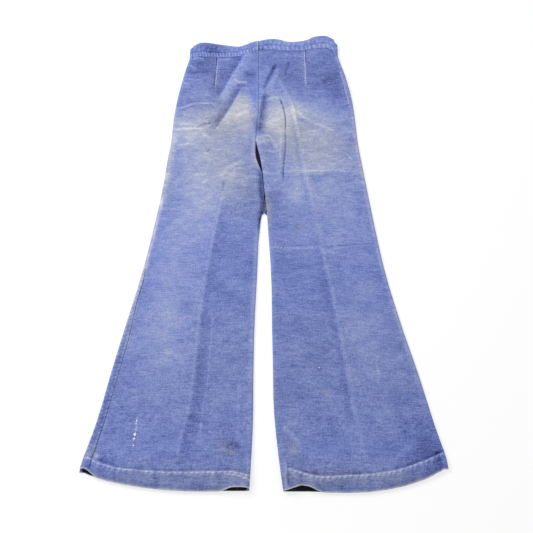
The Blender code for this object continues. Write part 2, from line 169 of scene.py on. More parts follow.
def add_noise(tree, coordinates, stretch, scale, detail):
    """Even noise, or streaks where stretch squeezes it."""
    mapping = add_node(tree, "ShaderNodeMapping")
    mapping.inputs["Scale"].default_value = stretch
    tree.links.new(coordinates, mapping.inputs["Vector"])
    grain = add_node(tree, "ShaderNodeTexNoise")
    grain.inputs["Scale"].default_value = scale
    grain.inputs["Detail"].default_value = detail
    tree.links.new(mapping.outputs["Vector"], grain.inputs["Vector"])
    return grain.outputs["Fac"]


def weighted_sum(tree, start, parts):
    """start plus each (socket, weight) taken from its middle value of one half."""
    total = start
    for socket, weight in parts:
        step = add_node(tree, "ShaderNodeMath", operation="MULTIPLY_ADD")
        shift = add_node(tree, "ShaderNodeMath", operation="SUBTRACT")
        tree.links.new(socket, shift.inputs[0])
        shift.inputs[1].default_value = NOISE_MIDDLE
        tree.links.new(shift.outputs[0], step.inputs[0])
        step.inputs[1].default_value = weight
        tree.links.new(total, step.inputs[2])
        total = step.outputs[0]
    return total


def shifted_place(tree, shift):
    """Object coordinates, moved along the leg by a shift."""
    along = add_node(tree, "ShaderNodeCombineXYZ")
    tree.links.new(shift, along.inputs["Y"])
    moved = add_node(tree, "ShaderNodeVectorMath", operation="ADD")
    tree.links.new(add_node(tree, "ShaderNodeTexCoord").outputs["Object"], moved.inputs[0])
    tree.links.new(along.outputs["Vector"], moved.inputs[1])
    return moved.outputs["Vector"]


def dye_colour(tree, faded):
    """The dye's colour for how far it has faded, 0 dark to 1 white."""
    ramp = add_node(tree, "ShaderNodeValToRGB")
    tree.links.new(faded, ramp.inputs["Fac"])
    stops = ramp.color_ramp.elements
    while len(stops) < len(DYE):
        stops.new(0.5)
    for stop, (position, colour) in zip(stops, DYE):
        stop.position = position
        stop.color = (*paint(*colour), 1.0)
    return ramp.outputs["Color"]


def with_dirt_and_shade(tree, colour, greyed):
    """A colour greyed by a share, with dirt on most of the cloth and as painted shade in the gap
    between the legs and in their mouths, and as light as it was.
    """
    lightness = add_node(tree, "ShaderNodeRGBToBW")
    tree.links.new(colour, lightness.inputs["Color"])
    grey_tint = add_node(tree, "ShaderNodeMix", data_type="RGBA", blend_type="MULTIPLY")
    grey_tint.inputs["Factor"].default_value = 1.0
    tree.links.new(lightness.outputs["Val"], grey_tint.inputs[MIX_A])
    grey_tint.inputs[MIX_B].default_value = (*DIRT_AND_SHADE_TINT, 1.0)
    soiled_and_shaded = add_node(tree, "ShaderNodeMix", data_type="RGBA", blend_type="MIX")
    tree.links.new(greyed, soiled_and_shaded.inputs["Factor"])
    tree.links.new(colour, soiled_and_shaded.inputs[MIX_A])
    tree.links.new(grey_tint.outputs[MIX_RESULT], soiled_and_shaded.inputs[MIX_B])
    return soiled_and_shaded.outputs[MIX_RESULT]


def denim_group():
    """Colour and weave of worn denim.

    Faded is how far its dye has gone, painted highlights and shade included, Greyed how far it
    has gone grey with dirt, and with painted shade in the gap and the legs' mouths, and Shift
    moves the weave along the leg.
    """
    group = bpy.data.node_groups.new("worn_denim", "ShaderNodeTree")
    for name in ("Faded", "Greyed", "Shift"):
        group.interface.new_socket(name, in_out="INPUT", socket_type="NodeSocketFloat")
    group.interface.new_socket("Colour", in_out="OUTPUT", socket_type="NodeSocketColor")
    group.interface.new_socket("Weave", in_out="OUTPUT", socket_type="NodeSocketFloat")
    given = add_node(group, "NodeGroupInput")
    result = add_node(group, "NodeGroupOutput")
    place = shifted_place(group, given.outputs["Shift"])
    woven, fades = {}, []
    for name, (stretch, scale, detail, fade) in DYE_NOISE.items():
        woven[name] = add_noise(group, place, stretch, scale, detail)
        fades.append((woven[name], fade))
    faded = weighted_sum(group, given.outputs["Faded"], fades)
    colour = with_dirt_and_shade(group, dye_colour(group, faded), given.outputs["Greyed"])
    group.links.new(colour, result.inputs["Colour"])
    twill = add_node(group, "ShaderNodeTexWave", bands_direction="DIAGONAL")
    twill.inputs["Scale"].default_value = TWILL_SCALE
    twill.inputs["Distortion"].default_value = TWILL_WAVER
    group.links.new(place, twill.inputs["Vector"])
    woven["twill"] = twill.outputs["Fac"]
    parts = [(woven[name], weight) for name, weight in WEAVE_WEIGHTS.items()]
    group.links.new(weighted_sum(group, woven["weft"], parts), result.inputs["Weave"])
    return group


worn_denim = denim_group()


def cloth_material(name, bump_depth, face=""):
    """Denim whose fading, greying and weave come from the piece's own attributes, painted light and shade
    among them.
    """
    made = bpy.data.materials.new(name)
    made.use_nodes = True
    tree = made.node_tree
    shader = tree.nodes["Principled BSDF"]
    shader.inputs["Roughness"].default_value = CLOTH_ROUGHNESS
    shader.inputs["Specular IOR Level"].default_value = CLOTH_GLOSS
    shader.inputs["Sheen Weight"].default_value = CLOTH_SHEEN
    shader.inputs["Sheen Roughness"].default_value = CLOTH_SHEEN_ROUGHNESS
    denim = add_node(tree, "ShaderNodeGroup", node_tree=worn_denim)
    for socket, attribute in (("Faded", face + "faded"), ("Greyed", face + "greyed"), ("Shift", "shift")):
        read = add_node(tree, "ShaderNodeAttribute", attribute_name=attribute)
        tree.links.new(read.outputs["Fac"], denim.inputs[socket])
    bump = add_node(tree, "ShaderNodeBump")
    bump.inputs["Strength"].default_value = WEAVE_STRENGTH
    bump.inputs["Distance"].default_value = bump_depth
    tree.links.new(denim.outputs["Weave"], bump.inputs["Height"])
    tree.links.new(bump.outputs["Normal"], shader.inputs["Normal"])
    tree.links.new(denim.outputs["Colour"], shader.inputs["Base Color"])
    return made


panel_denim = cloth_material("panel_denim", PANEL_WEAVE_DEPTH)

# The back of each leg is one panel of denim from the waistband to the hem, sewn to its twin
# up the seat and to the front panels down the sides. It lies on top, creased from wear.
SLICE_STEP = 0.002
END_SLICES = 90
END_INSET = 0.006  # share at each end of a hem or waist that isn't sliced
LEAN_STEPS = 4  # the lean of an edge's end is taken over this many slices
THIGH_LEVEL = 0.05  # a slice here crosses one panel from inseam to outseam
MOST_LEAN = 0.45  # a side edge never leans more than this, and the hem and waist always do
BEYOND = 0.06  # the side edges go on straight this far past the hem and the waist
HEM_BLEND = 0.30
WAIST_BLEND = 0.11
EDGE_REACH = 0.0045
EDGE_COLUMNS = 5
CROTCH = 0.2346
SEAT_BLEND = 0.034
CLOTH_WALL = 0.0011
HEIGHT_PASSES = 26
# Rows of the sheet up the leg, closer together where it is creased: highest level, step
ROW_STEPS = [(-0.500, 0.0014), (-0.060, 0.0080), (-0.030, 0.0018), (0.140, 0.0060), (0.600, 0.0027)]
SIDES = {"left": -1.0, "right": 1.0}
# The legs touch below the crotch: y, how far the left and the right inner edges come in
LEGS_TOUCH = [
    (0.050, 0.0, 0.0), (0.070, 0.0008, 0.0006), (0.090, 0.0018, 0.0012), (0.110, 0.0021, 0.0015),
    (0.145, 0.0011, 0.0007), (0.168, 0.0, 0.0), (0.234, 0.0, 0.0), (0.240, 0.0004, 0.0004),
]


def ease(share):
    """Runs smoothly from 0 to 1, and stays there."""
    share = np.clip(share, 0.0, 1.0)
    return share * share * (3 - 2 * share)


def node_edges(name):
    """Both ends of every edge of a CAD solid, as one array."""
    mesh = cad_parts[name].data
    points = np.array([vert.co for vert in mesh.vertices])
    return points[np.array([edge.vertices[:] for edge in mesh.edges])]


def slice_span(edges, axis, level):
    """Lowest and highest place of a slice across a solid, along the other ground axis."""
    start, end = edges[:, 0], edges[:, 1]
    crossing = (start[:, axis] - level) * (end[:, axis] - level) < 0
    start, end = start[crossing], end[crossing]
    share = (level - start[:, axis]) / (end[:, axis] - start[:, axis])
    places = start[:, 1 - axis] + share * (end[:, 1 - axis] - start[:, 1 - axis])
    return places.min(), places.max()


def walk_side(edges, pick, step):
    """Points of a panel's side edge from the thigh to the corner at the hem or the waist."""
    points = [(THIGH_LEVEL, slice_span(edges, 1, THIGH_LEVEL)[pick])]
    while True:
        y = points[-1][0] + step
        try:
            x = slice_span(edges, 1, y)[pick]
        except ValueError:
            return points
        if abs(x - points[-1][1]) > MOST_LEAN * abs(step):
            return points
        points.append((y, x))


def read_outline(name, side):
    """The outline of a panel as curves, measured on its solid."""
    edges = node_edges(name)
    outline = {}
    for edge, pick in (("inner", side == "left"), ("outer", side == "right")):
        down = walk_side(edges, int(pick), -SLICE_STEP)
        up = walk_side(edges, int(pick), SLICE_STEP)
        points = np.array(down[::-1] + up[1:])
        low_step = points[LEAN_STEPS] - points[0]
        high_step = points[-1] - points[-1 - LEAN_STEPS]
        low_lean = low_step[1] / low_step[0]
        high_lean = high_step[1] / high_step[0]
        below = (points[0, 0] - BEYOND, points[0, 1] - BEYOND * low_lean)
        above = (points[-1, 0] + BEYOND, points[-1, 1] + BEYOND * high_lean)
        outline[edge] = np.vstack([below, points, above])
        outline[edge + "_ends"] = (points[0], points[-1])
    for edge, end, pick in (("hem", 0, 0), ("waist", 1, 1)):
        inner_end = outline["inner_ends"][end]
        outer_end = outline["outer_ends"][end]
        shares = np.linspace(0.0, 1.0, END_SLICES)
        xs = inner_end[1] + shares * (outer_end[1] - inner_end[1])
        inside = xs[0] + np.clip(shares, END_INSET, 1 - END_INSET) * (xs[-1] - xs[0])
        ys = [slice_span(edges, 0, x)[pick] for x in inside]
        outline[edge] = (shares, np.array(ys))
    return outline


def across(outline, share, y):
    """x of a share of the way from the inner edge to the outer edge."""
    inner = np.interp(y, outline["inner"][:, 0], outline["inner"][:, 1])
    outer = np.interp(y, outline["outer"][:, 0], outline["outer"][:, 1])
    levels, left, right = zip(*LEGS_TOUCH)
    on_left = outer.mean() < inner.mean()
    inner = inner + (np.interp(y, levels, left) if on_left else -np.interp(y, levels, right))
    return inner + share * (outer - inner), inner, outer


def bowed(outline, share, level, low, high):
    """y of a level that bows with the hem below and with the waist above."""
    hem_bow = np.interp(share, *outline["hem"]) - low
    waist_bow = np.interp(share, *outline["waist"]) - high
    hem_weight = ease(1 - (level - low) / HEM_BLEND)
    waist_weight = ease(1 - (high - level) / WAIST_BLEND)
    return level + hem_bow * hem_weight + waist_bow * waist_weight


def drop_height(tree, x, y, about, from_above=True):
    """Height of a solid's face over each place, from above or from underneath.

    Past the solid's edge it is the height of its nearest point to a place at about this height.
    """
    start, way = (1.0, Vector((0, 0, -1))) if from_above else (-1.0, Vector((0, 0, 1)))
    heights = np.empty(x.size)
    for i, (px, py) in enumerate(zip(x.flat, y.flat)):
        hit = tree.ray_cast(Vector((px, py, start)), way)[0]
        if hit is None:
            hit = tree.find_nearest(Vector((px, py, about)))[0]
        heights[i] = hit.z
    return heights.reshape(x.shape)


def node_tree_of(name):
    """A CAD solid's faces, to find their height."""
    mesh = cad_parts[name].data
    points = [vert.co for vert in mesh.vertices]
    return BVHTree.FromPolygons(points, [face.vertices[:] for face in mesh.polygons])


def smoothed(values, passes):
    """Values on a grid, each pass taking a quarter from each neighbour down, then across."""
    for _ in range(passes):
        for axis in (0, 1):
            padded = np.pad(values, [(1, 1) if k == axis else (0, 0) for k in (0, 1)], "edge")
            low = np.take(padded, range(0, values.shape[axis]), axis)
            high = np.take(padded, range(2, values.shape[axis] + 2), axis)
            values = 0.25 * low + 0.5 * values + 0.25 * high
    return values


def smooth_path(points, steps=6):
    """More points along a smooth curve through a path's own points."""
    points = [Vector(point) for point in points]
    ends = [2 * points[0] - points[1], *points, 2 * points[-1] - points[-2]]
    curve = []
    for before, start, end, after in zip(ends, ends[1:], ends[2:], ends[3:]):
        for k in range(steps):
            t = k / steps
            curve.append(
                0.5 * (2 * start + t * (end - before)
                + t * t * (2 * before - 5 * start + 4 * end - after)
                + t * t * t * (3 * start - before - 3 * end + after))
            )
    return curve + [points[-1]]


def beside_path(x, y, path):
    """Each point's distance from a path, its side, how far along it is, and the path's length."""
    curve = smooth_path(path)
    best = np.full(x.shape, np.inf)
    side, along, done = np.zeros(x.shape), np.zeros(x.shape), 0.0
    for start, end in zip(curve, curve[1:]):
        step = end - start
        share = np.clip(((x - start.x) * step.x + (y - start.y) * step.y) / step.length_squared, 0, 1)
        away_x, away_y = x - start.x - share * step.x, y - start.y - share * step.y
        distance = np.hypot(away_x, away_y)
        nearer = distance < best
        best = np.where(nearer, distance, best)
        side = np.where(nearer, np.sign(step.x * away_y - step.y * away_x), side)
        along = np.where(nearer, done + share * step.length, along)
        done += step.length
    return best, side, along, done


# Creases of the back: height, half width, lean to the left of its way, change of fading, path. The
# change of fading is partly the creases' wear and partly painted highlight on their ridges and
# painted shade in their troughs
BACK_CREASES = [
    (0.0018, 0.0150, 0.7, 0.15, [
        (-0.030, 0.505), (-0.0443, 0.494), (-0.0564, 0.4655), (-0.0751, 0.429), (-0.0932, 0.390),
        (-0.1077, 0.351)]),
    (-0.0010, 0.0130, -0.7, -0.12, [
        (-0.052, 0.492), (-0.0640, 0.4655), (-0.0820, 0.429), (-0.1000, 0.390), (-0.1140, 0.356)]),
    (-0.0022, 0.0090, -0.55, -0.24, [
        (-0.0560, 0.396), (-0.0601, 0.386), (-0.0676, 0.370), (-0.0795, 0.343), (-0.0942, 0.313),
        (-0.1146, 0.276), (-0.120, 0.262)]),
    (0.0012, 0.0120, 0.6, 0.12, [
        (-0.0540, 0.383), (-0.0615, 0.366), (-0.0730, 0.338), (-0.0870, 0.310), (-0.1060, 0.276)]),
    (0.0016, 0.0024, 0.0, 0.28, [
        (-0.0760, 0.416), (-0.0650, 0.407), (-0.0558, 0.404), (-0.0384, 0.406)]),
    (-0.0012, 0.0030, 0.0, -0.16, [(-0.0680, 0.397), (-0.0560, 0.394), (-0.0440, 0.397)]),
    (0.0006, 0.0020, 0.0, 0.08, [(-0.172, 0.412), (-0.145, 0.420), (-0.122, 0.432)]),
    (-0.0012, 0.0085, 0.3, -0.36, [
        (0.0040, 0.378), (-0.0050, 0.330), (-0.0070, 0.305), (-0.0140, 0.256)]),
    (0.0020, 0.0060, -0.2, 0.05, [
        (0.0271, 0.429), (0.0450, 0.395), (0.0669, 0.343), (0.0770, 0.285), (0.0854, 0.226)]),
    (0.0012, 0.0040, 0.0, 0.06, [(-0.066, 0.302), (-0.050, 0.312), (-0.032, 0.320)]),
    (-0.0010, 0.0030, 0.0, -0.08, [(-0.070, 0.310), (-0.055, 0.322), (-0.034, 0.330)]),
    (0.0010, 0.0035, 0.0, 0.08, [(-0.080, 0.262), (-0.060, 0.270), (-0.034, 0.268)]),
    (-0.0022, 0.0048, 0.0, -0.26, [(0.028, 0.462), (0.019, 0.440), (0.008, 0.414), (-0.001, 0.384)]),
    (0.0022, 0.0060, 0.0, 0.10, [(0.038, 0.450), (0.030, 0.425), (0.019, 0.395)]),
    (-0.0012, 0.0045, 0.0, -0.12, [(0.062, 0.470), (0.056, 0.450), (0.050, 0.425)]),
    (0.0016, 0.0040, 0.0, 0.20, [(0.000, 0.350), (0.012, 0.356), (0.026, 0.360), (0.038, 0.356)]),
    (-0.0024, 0.0018, 0.0, -0.40, [(0.036, 0.362), (0.044, 0.335), (0.050, 0.302), (0.050, 0.262)]),
    (-0.0014, 0.0018, 0.0, -0.30, [(0.050, 0.272), (0.049, 0.215), (0.044, 0.165), (0.043, 0.120)]),
    (0.0016, 0.0040, 0.0, 0.08, [(0.041, 0.270), (0.040, 0.230), (0.037, 0.175)]),
    (0.0014, 0.0050, 0.0, 0.15, [
        (0.064, 0.330), (0.085, 0.310), (0.110, 0.292), (0.140, 0.275), (0.176, 0.258)]),
    (-0.0008, 0.0070, 0.0, -0.06, [(0.070, 0.315), (0.110, 0.280), (0.150, 0.262)]),
    (0.0014, 0.0040, -0.4, 0.12, [
        (-0.022, 0.240), (-0.006, 0.249), (0.010, 0.250), (0.022, 0.236), (0.032, 0.212),
        (0.040, 0.196)]),
    (-0.0006, 0.0030, 0.0, -0.08, [(0.002, 0.236), (0.014, 0.226), (0.020, 0.214)]),
    (0.0004, 0.0026, 0.0, 0.09, [(0.004, 0.206), (0.018, 0.204), (0.032, 0.196), (0.042, 0.186)]),
    (0.0004, 0.0024, 0.0, 0.08, [(0.012, 0.176), (0.026, 0.168), (0.042, 0.166)]),
    # Painted shade along the narrow gap where the legs touch below the crotch
    (-0.0018, 0.0055, 0.0, -0.46, [
        (-0.0125, 0.168), (-0.0085, 0.140), (-0.0068, 0.105), (-0.0046, 0.070), (-0.0090, 0.030),
        (-0.0130, -0.010)]),
    (0.0014, 0.0020, 0.0, 0.28, [
        (-0.2120, 0.328), (-0.1903, 0.3315), (-0.1692, 0.341), (-0.1321, 0.343), (-0.1077, 0.341)]),
    (-0.0006, 0.0030, 0.0, -0.08, [(-0.205, 0.322), (-0.170, 0.334), (-0.130, 0.336)]),
    (0.0008, 0.0026, 0.0, 0.08, [(-0.220, 0.286), (-0.190, 0.282), (-0.160, 0.281)]),
    (0.0016, 0.0019, 0.0, 0.32, [(-0.216, 0.264), (-0.190, 0.268), (-0.160, 0.269), (-0.138, 0.270)]),
    (-0.0014, 0.0024, 0.0, -0.34, [(-0.158, 0.277), (-0.140, 0.284), (-0.124, 0.287)]),
    (-0.0010, 0.0020, 0.0, -0.30, [(-0.134, 0.204), (-0.126, 0.214)]),
    (0.0010, 0.0050, 0.0, 0.08, [(-0.150, 0.120), (-0.110, 0.136), (-0.065, 0.172), (-0.045, 0.186)]),
    (0.0006, 0.0035, 0.0, 0.07, [(-0.198, 0.222), (-0.175, 0.226), (-0.150, 0.220)]),
    (0.0006, 0.0018, 0.0, 0.20, [(-0.178, 0.476), (-0.164, 0.481), (-0.150, 0.473)]),
    (0.0006, 0.0018, 0.0, 0.18, [(-0.190, 0.460), (-0.178, 0.452), (-0.164, 0.444)]),
    (0.0006, 0.0018, 0.0, 0.18, [(-0.202, 0.412), (-0.192, 0.402), (-0.180, 0.398)]),
    (0.0006, 0.0017, 0.4, 0.14, [(0.045, 0.154), (0.100, 0.152), (0.150, 0.154), (0.205, 0.160)]),
    (-0.0004, 0.0110, -0.6, -0.10, [(0.030, 0.142), (0.100, 0.140), (0.150, 0.142), (0.215, 0.148)]),
    (0.0006, 0.0014, 0.0, 0.34, [
        (-0.1155, 0.486), (-0.1170, 0.450), (-0.1200, 0.392), (-0.1205, 0.386)]),
    (-0.0008, 0.0013, 0.0, -0.30, [(-0.1184, 0.486), (-0.1190, 0.455)]),
    (-0.0008, 0.0013, 0.0, -0.18, [(-0.1205, 0.440), (-0.1228, 0.392)]),
    (0.0006, 0.0014, 0.0, 0.40, [(0.0988, 0.512), (0.0995, 0.470), (0.1006, 0.400), (0.1008, 0.390)]),
    (-0.0005, 0.0014, 0.0, -0.24, [(0.1014, 0.512), (0.1018, 0.490), (0.1023, 0.464)]),
    (0.0006, 0.0024, 0.0, 0.18, [(-0.118, 0.478), (-0.100, 0.476), (-0.082, 0.477)]),
    (-0.0004, 0.0020, 0.0, -0.12, [(0.070, 0.380), (0.084, 0.379), (0.096, 0.381)]),
    (-0.0004, 0.0018, 0.0, -0.19, [
        (0.116, -0.0412), (0.160, -0.0385), (0.200, -0.0345), (0.244, -0.0320)]),
    (-0.0003, 0.0240, -0.6, -0.07, [
        (0.000, -0.072), (0.070, -0.076), (0.130, -0.072), (0.180, -0.064)]),
    (0.0004, 0.0018, 0.0, 0.20, [(0.187, 0.202), (0.198, 0.190), (0.203, 0.182)]),
    (0.0003, 0.0016, 0.0, 0.22, [(0.225, -0.300), (0.230, -0.330)]),
    (-0.0005, 0.0022, 0.0, -0.20, [(-0.0925, 0.128), (-0.0950, 0.094)]),
    (0.0005, 0.0040, 0.0, 0.07, [(-0.048, -0.330), (-0.050, -0.400), (-0.052, -0.470)]),
    (0.0005, 0.0040, 0.0, 0.06, [(-0.122, -0.420), (-0.124, -0.460)]),
    (-0.0006, 0.0016, 0.0, -0.20, [(0.0445, -0.494), (0.0455, -0.540)]),
    (0.0006, 0.0024, 0.0, 0.14, [(0.0400, -0.490), (0.0405, -0.545)]),
    (-0.0010, 0.0017, 0.0, -0.26, [
        (-0.0740, -0.4650), (-0.0560, -0.4640), (-0.0400, -0.4600), (-0.020, -0.4560)]),
    (0.0008, 0.0036, 0.0, 0.14, [(0.0316, -0.419), (0.0500, -0.441), (0.0750, -0.466)]),
    (0.0003, 0.0075, 0.0, 0.18, [
        (-0.2060, 0.270), (-0.2140, 0.212), (-0.2195, 0.145), (-0.2275, 0.077), (-0.2330, 0.040)]),
    (0.0005, 0.0040, 0.0, 0.22, [
        (-0.2285, 0.085), (-0.2340, 0.040), (-0.2410, -0.010), (-0.2490, -0.058),
        (-0.2535, -0.090), (-0.2570, -0.120)]),
    (0.0004, 0.0012, 0.0, 0.16, [
        (-0.2627, -0.163), (-0.2696, -0.204), (-0.2766, -0.257), (-0.2860, -0.300),
        (-0.2946, -0.345), (-0.3028, -0.390), (-0.3097, -0.434), (-0.3180, -0.468)]),
    (-0.0006, 0.0013, 0.0, -0.26, [(-0.3219, -0.469), (-0.3250, -0.485), (-0.3298, -0.508)]),
    (0.0008, 0.0060, 0.0, 0.06, [(0.295, -0.452), (0.270, -0.470), (0.232, -0.520)]),
]
# Pressed creases down the middle of each leg: the same columns
PRESSED_CREASES = [
    (0.0006, 0.0048, 0.0, 0.03, [
        (0.0322, 0.421), (0.050, 0.385), (0.0663, 0.347), (0.0797, 0.270), (0.0941, 0.158),
        (0.0990, 0.1165)]),
    (0.0005, 0.0048, 0.0, 0.07, [
        (0.0950, 0.150), (0.0990, 0.1165), (0.1108, 0.060), (0.1226, 0.0035), (0.1274, -0.0495),
        (0.1379, -0.115), (0.1447, -0.157), (0.1525, -0.205), (0.166, -0.310), (0.1766, -0.396),
        (0.1838, -0.4265), (0.1903, -0.4695), (0.1935, -0.505)]),
    (-0.0004, 0.0075, -0.3, -0.08, [
        (0.112, -0.010), (0.1180, -0.060), (0.1290, -0.115), (0.1365, -0.157), (0.1440, -0.205),
        (0.158, -0.310), (0.1680, -0.396), (0.1760, -0.430)]),
    (-0.0006, 0.0060, 0.0, -0.10, [(0.058, 0.330), (0.0710, 0.270), (0.0850, 0.158), (0.1010, 0.060)]),
    (0.0005, 0.0034, 0.0, 0.07, [
        (-0.094, 0.115), (-0.096, 0.076), (-0.108, 0.000), (-0.1225, -0.096), (-0.1304, -0.164),
        (-0.1375, -0.260), (-0.1447, -0.375), (-0.158, -0.443), (-0.1669, -0.501)]),
    (-0.0004, 0.0110, 0.6, -0.09, [
        (-0.089, 0.070), (-0.102, 0.000), (-0.1160, -0.096), (-0.1215, -0.164), (-0.1290, -0.260),
        (-0.1365, -0.375), (-0.150, -0.443), (-0.1590, -0.501)]),
    (0.0003, 0.0018, 0.0, 0.09, [
        (-0.1060, -0.190), (-0.1085, -0.260), (-0.1120, -0.330), (-0.1200, -0.400),
        (-0.1215, -0.450)]),
]
# Fading of the back: x, y, reach along x and y, turn in degrees, change
BASE_FADE = 0.475
BACK_FADING = [
    (-0.060, 0.310, 0.045, 0.045, 0, 0.24),
    (-0.034, 0.355, 0.016, 0.045, -10, 0.14),
    (0.030, 0.300, 0.045, 0.060, 0, 0.30),
    (0.012, 0.400, 0.018, 0.040, 12, 0.12),
    (-0.160, 0.270, 0.075, 0.050, 0, 0.18),
    (-0.120, 0.170, 0.090, 0.100, 0, 0.17),
    (-0.195, 0.240, 0.030, 0.100, 10, 0.06),
    (-0.050, 0.335, 0.030, 0.030, 0, 0.14),
    (0.075, 0.325, 0.040, 0.035, -20, 0.16),
    (0.110, 0.250, 0.090, 0.065, -20, 0.23),
    (0.120, 0.165, 0.100, 0.045, 0, 0.16),
    (0.150, 0.310, 0.050, 0.024, -12, 0.14),
    (0.150, 0.090, 0.070, 0.060, 0, 0.10),
    (0.075, 0.115, 0.030, 0.060, 0, 0.12),
    (-0.150, 0.050, 0.060, 0.110, 0, 0.16),
    (-0.200, -0.090, 0.050, 0.130, 0, 0.10),
    (0.160, 0.000, 0.090, 0.060, 0, 0.10),
    (0.130, -0.070, 0.070, 0.040, 0, 0.06),
    (-0.205, -0.240, 0.060, 0.120, 0, 0.14),
    (-0.200, -0.430, 0.100, 0.060, 0, 0.01),
    (0.205, -0.250, 0.060, 0.130, 0, 0.10),
    (0.315, -0.453, 0.040, 0.060, 0, -0.08),
    (0.050, -0.440, 0.020, 0.050, 0, 0.04),
    (0.012, 0.190, 0.014, 0.046, 0, -0.05),
    (-0.0268, 0.355, 0.014, 0.040, 0, -0.18),
    (-0.0200, 0.285, 0.007, 0.033, 0, -0.20),
    (-0.140, 0.290, 0.080, 0.050, 0, 0.06),
    (0.170, 0.400, 0.026, 0.050, 10, -0.08),
    (-0.330, -0.500, 0.040, 0.030, 0, -0.03),
    (-0.200, 0.120, 0.022, 0.070, 10, -0.05),
    (-0.3325, -0.4805, 0.006, 0.005, 0, 0.28),
    (-0.3180, -0.4845, 0.005, 0.006, 0, 0.34),
    (0.012, 0.165, 0.012, 0.040, 0, 0.03),
    (-0.004, 0.236, 0.015, 0.008, 0, 0.10),
    (-0.0110, 0.266, 0.012, 0.022, 0, -0.12),
    (-0.080, -0.300, 0.040, 0.100, 0, 0.04),
    (-0.0631, -0.4805, 0.013, 0.006, 0, -0.04),
    (0.320, -0.490, 0.050, 0.030, 0, -0.12),
    (-0.153, 0.455, 0.034, 0.035, 0, -0.14),
    (0.150, 0.420, 0.040, 0.040, 0, -0.08),
    (-0.040, 0.428, 0.012, 0.009, -10, -0.12),
    (-0.070, 0.150, 0.045, 0.060, 0, 0.06),
    (0.120, 0.110, 0.080, 0.040, 0, 0.05),
    (0.000, 0.455, 0.230, 0.040, 0, -0.04),
    (0.060, 0.420, 0.050, 0.030, 0, -0.06),
    (-0.112, 0.292, 0.016, 0.040, -30, -0.12),
]
# Greying of the back: the same columns
BACK_GREYING = [
    (-0.222, 0.150, 0.010, 0.090, 8, 0.24),
    (-0.070, 0.150, 0.045, 0.060, 0, 0.10),
    (-0.130, 0.410, 0.080, 0.080, 0, 0.16),
    (0.100, 0.430, 0.100, 0.070, 0, 0.12),
    (-0.055, 0.315, 0.045, 0.050, 0, 0.46),
    (0.040, 0.290, 0.050, 0.060, 0, 0.48),
    (-0.0268, 0.355, 0.014, 0.040, 0, -0.34),
    (-0.0200, 0.285, 0.008, 0.033, 0, -0.34),
    (0.120, 0.230, 0.090, 0.070, -15, 0.36),
    (-0.130, 0.200, 0.090, 0.100, 0, 0.22),
    (-0.140, 0.300, 0.080, 0.050, 0, 0.30),
    (-0.050, 0.100, 0.050, 0.060, 0, 0.18),
    (0.000, 0.150, 0.300, 0.180, 0, 0.14),
    (-0.150, -0.300, 0.250, 0.200, 0, 0.12),
    (0.220, -0.300, 0.200, 0.150, 0, 0.12),
    (-0.100, 0.250, 0.060, 0.060, 0, 0.14),
    (-0.100, -0.524, 0.300, 0.022, 0, 0.24),
    (0.200, -0.524, 0.300, 0.022, 0, 0.22),
    (-0.3260, -0.4820, 0.012, 0.007, 0, 0.40),
    (0.076, 0.008, 0.007, 0.006, 0, 0.55),
    (-0.0631, -0.4785, 0.014, 0.0060, 0, 0.40),
    (-0.072, -0.462, 0.022, 0.016, 0, 0.20),
    (0.285, -0.345, 0.005, 0.005, 0, 0.50),
    (0.120, -0.360, 0.006, 0.006, 0, 0.40),
    (0.050, -0.440, 0.022, 0.050, 0, 0.12),
    (0.052, -0.474, 0.012, 0.016, 0, 0.30),
    (0.010, 0.060, 0.008, 0.040, 0, 0.40),
]


def bell(distance, reach):
    """1 where there is no distance, falling softly to nothing past the reach."""
    return np.exp(-((distance / reach) ** 2))


def near_path(x, y, path, room):
    """The places within a box around a path."""
    xs, ys = [point[0] for point in path], [point[1] for point in path]
    within = (x > min(xs) - room) & (x < max(xs) + room)
    return within & (y > min(ys) - room) & (y < max(ys) + room)


CREASE_ROOM = 4.5  # half widths to each side within which a crease is worked out
TAPER_SHARE = 0.2
TAPER_START = 0.12
MOST_TAPER = 0.03


def creased(x, y, creases):
    """Height, and fading partly from wear and partly painted highlight and shade, that a table of creases
    adds at each place.
    """
    height, fading_and_painted_light = np.zeros(x.shape), np.zeros(x.shape)
    for rise, half_width, lean, change, path in creases:
        near = near_path(x, y, path, CREASE_ROOM * half_width)
        if not near.any():
            continue
        distance, side, along, length = beside_path(x[near], y[near], path)
        from_end = np.minimum(along, length - along)
        taper = ease(from_end / min(TAPER_SHARE * length, MOST_TAPER) + TAPER_START)
        profile = taper * bell(distance, half_width * (1 + lean * side))
        height[near] += rise * profile
        fading_and_painted_light[near] += change * profile
    return height, fading_and_painted_light


def patches(x, y, table):
    """Soft oval patches: x, y, reach along each, turn in degrees, and the change at the middle."""
    total = np.zeros(x.shape)
    for middle_x, middle_y, reach_x, reach_y, turn, change in table:
        cosine, sine = math.cos(math.radians(turn)), math.sin(math.radians(turn))
        over = cosine * (x - middle_x) + sine * (y - middle_y)
        up = cosine * (y - middle_y) - sine * (x - middle_x)
        total += change * bell(over, reach_x) * bell(up, reach_y)
    return total


def wrinkled(x, y, size, stretch, seed):
    """Small uneven wrinkles, from about -1 to 1."""
    places = zip((x / (size * stretch)).flat, (y / size).flat)
    values = [noise.noise(Vector((px, py, seed))) for px, py in places]
    return np.array(values).reshape(x.shape)


# Where the weave is pulled aslant on the left thigh: x, y, reach along x and y, slope
PULLED_WEAVE = (-0.085, 0.190, 0.070, 0.090, -0.26)
# The weave rises outwards on the flares: slope, highest level, levels over which it comes in
FLARED_WEAVE = (0.05, 0.1, 0.3)


def weave_shift(x, y):
    """How far the weave is pulled along the leg, so that its streaks slope as the cloth lies."""
    middle_x, middle_y, reach_x, reach_y, slope = PULLED_WEAVE
    pulled = slope * (x - middle_x) * bell(x - middle_x, reach_x) * bell(y - middle_y, reach_y)
    flare_slope, top, over = FLARED_WEAVE
    return pulled + flare_slope * np.abs(x) * ease((top - y) / over)


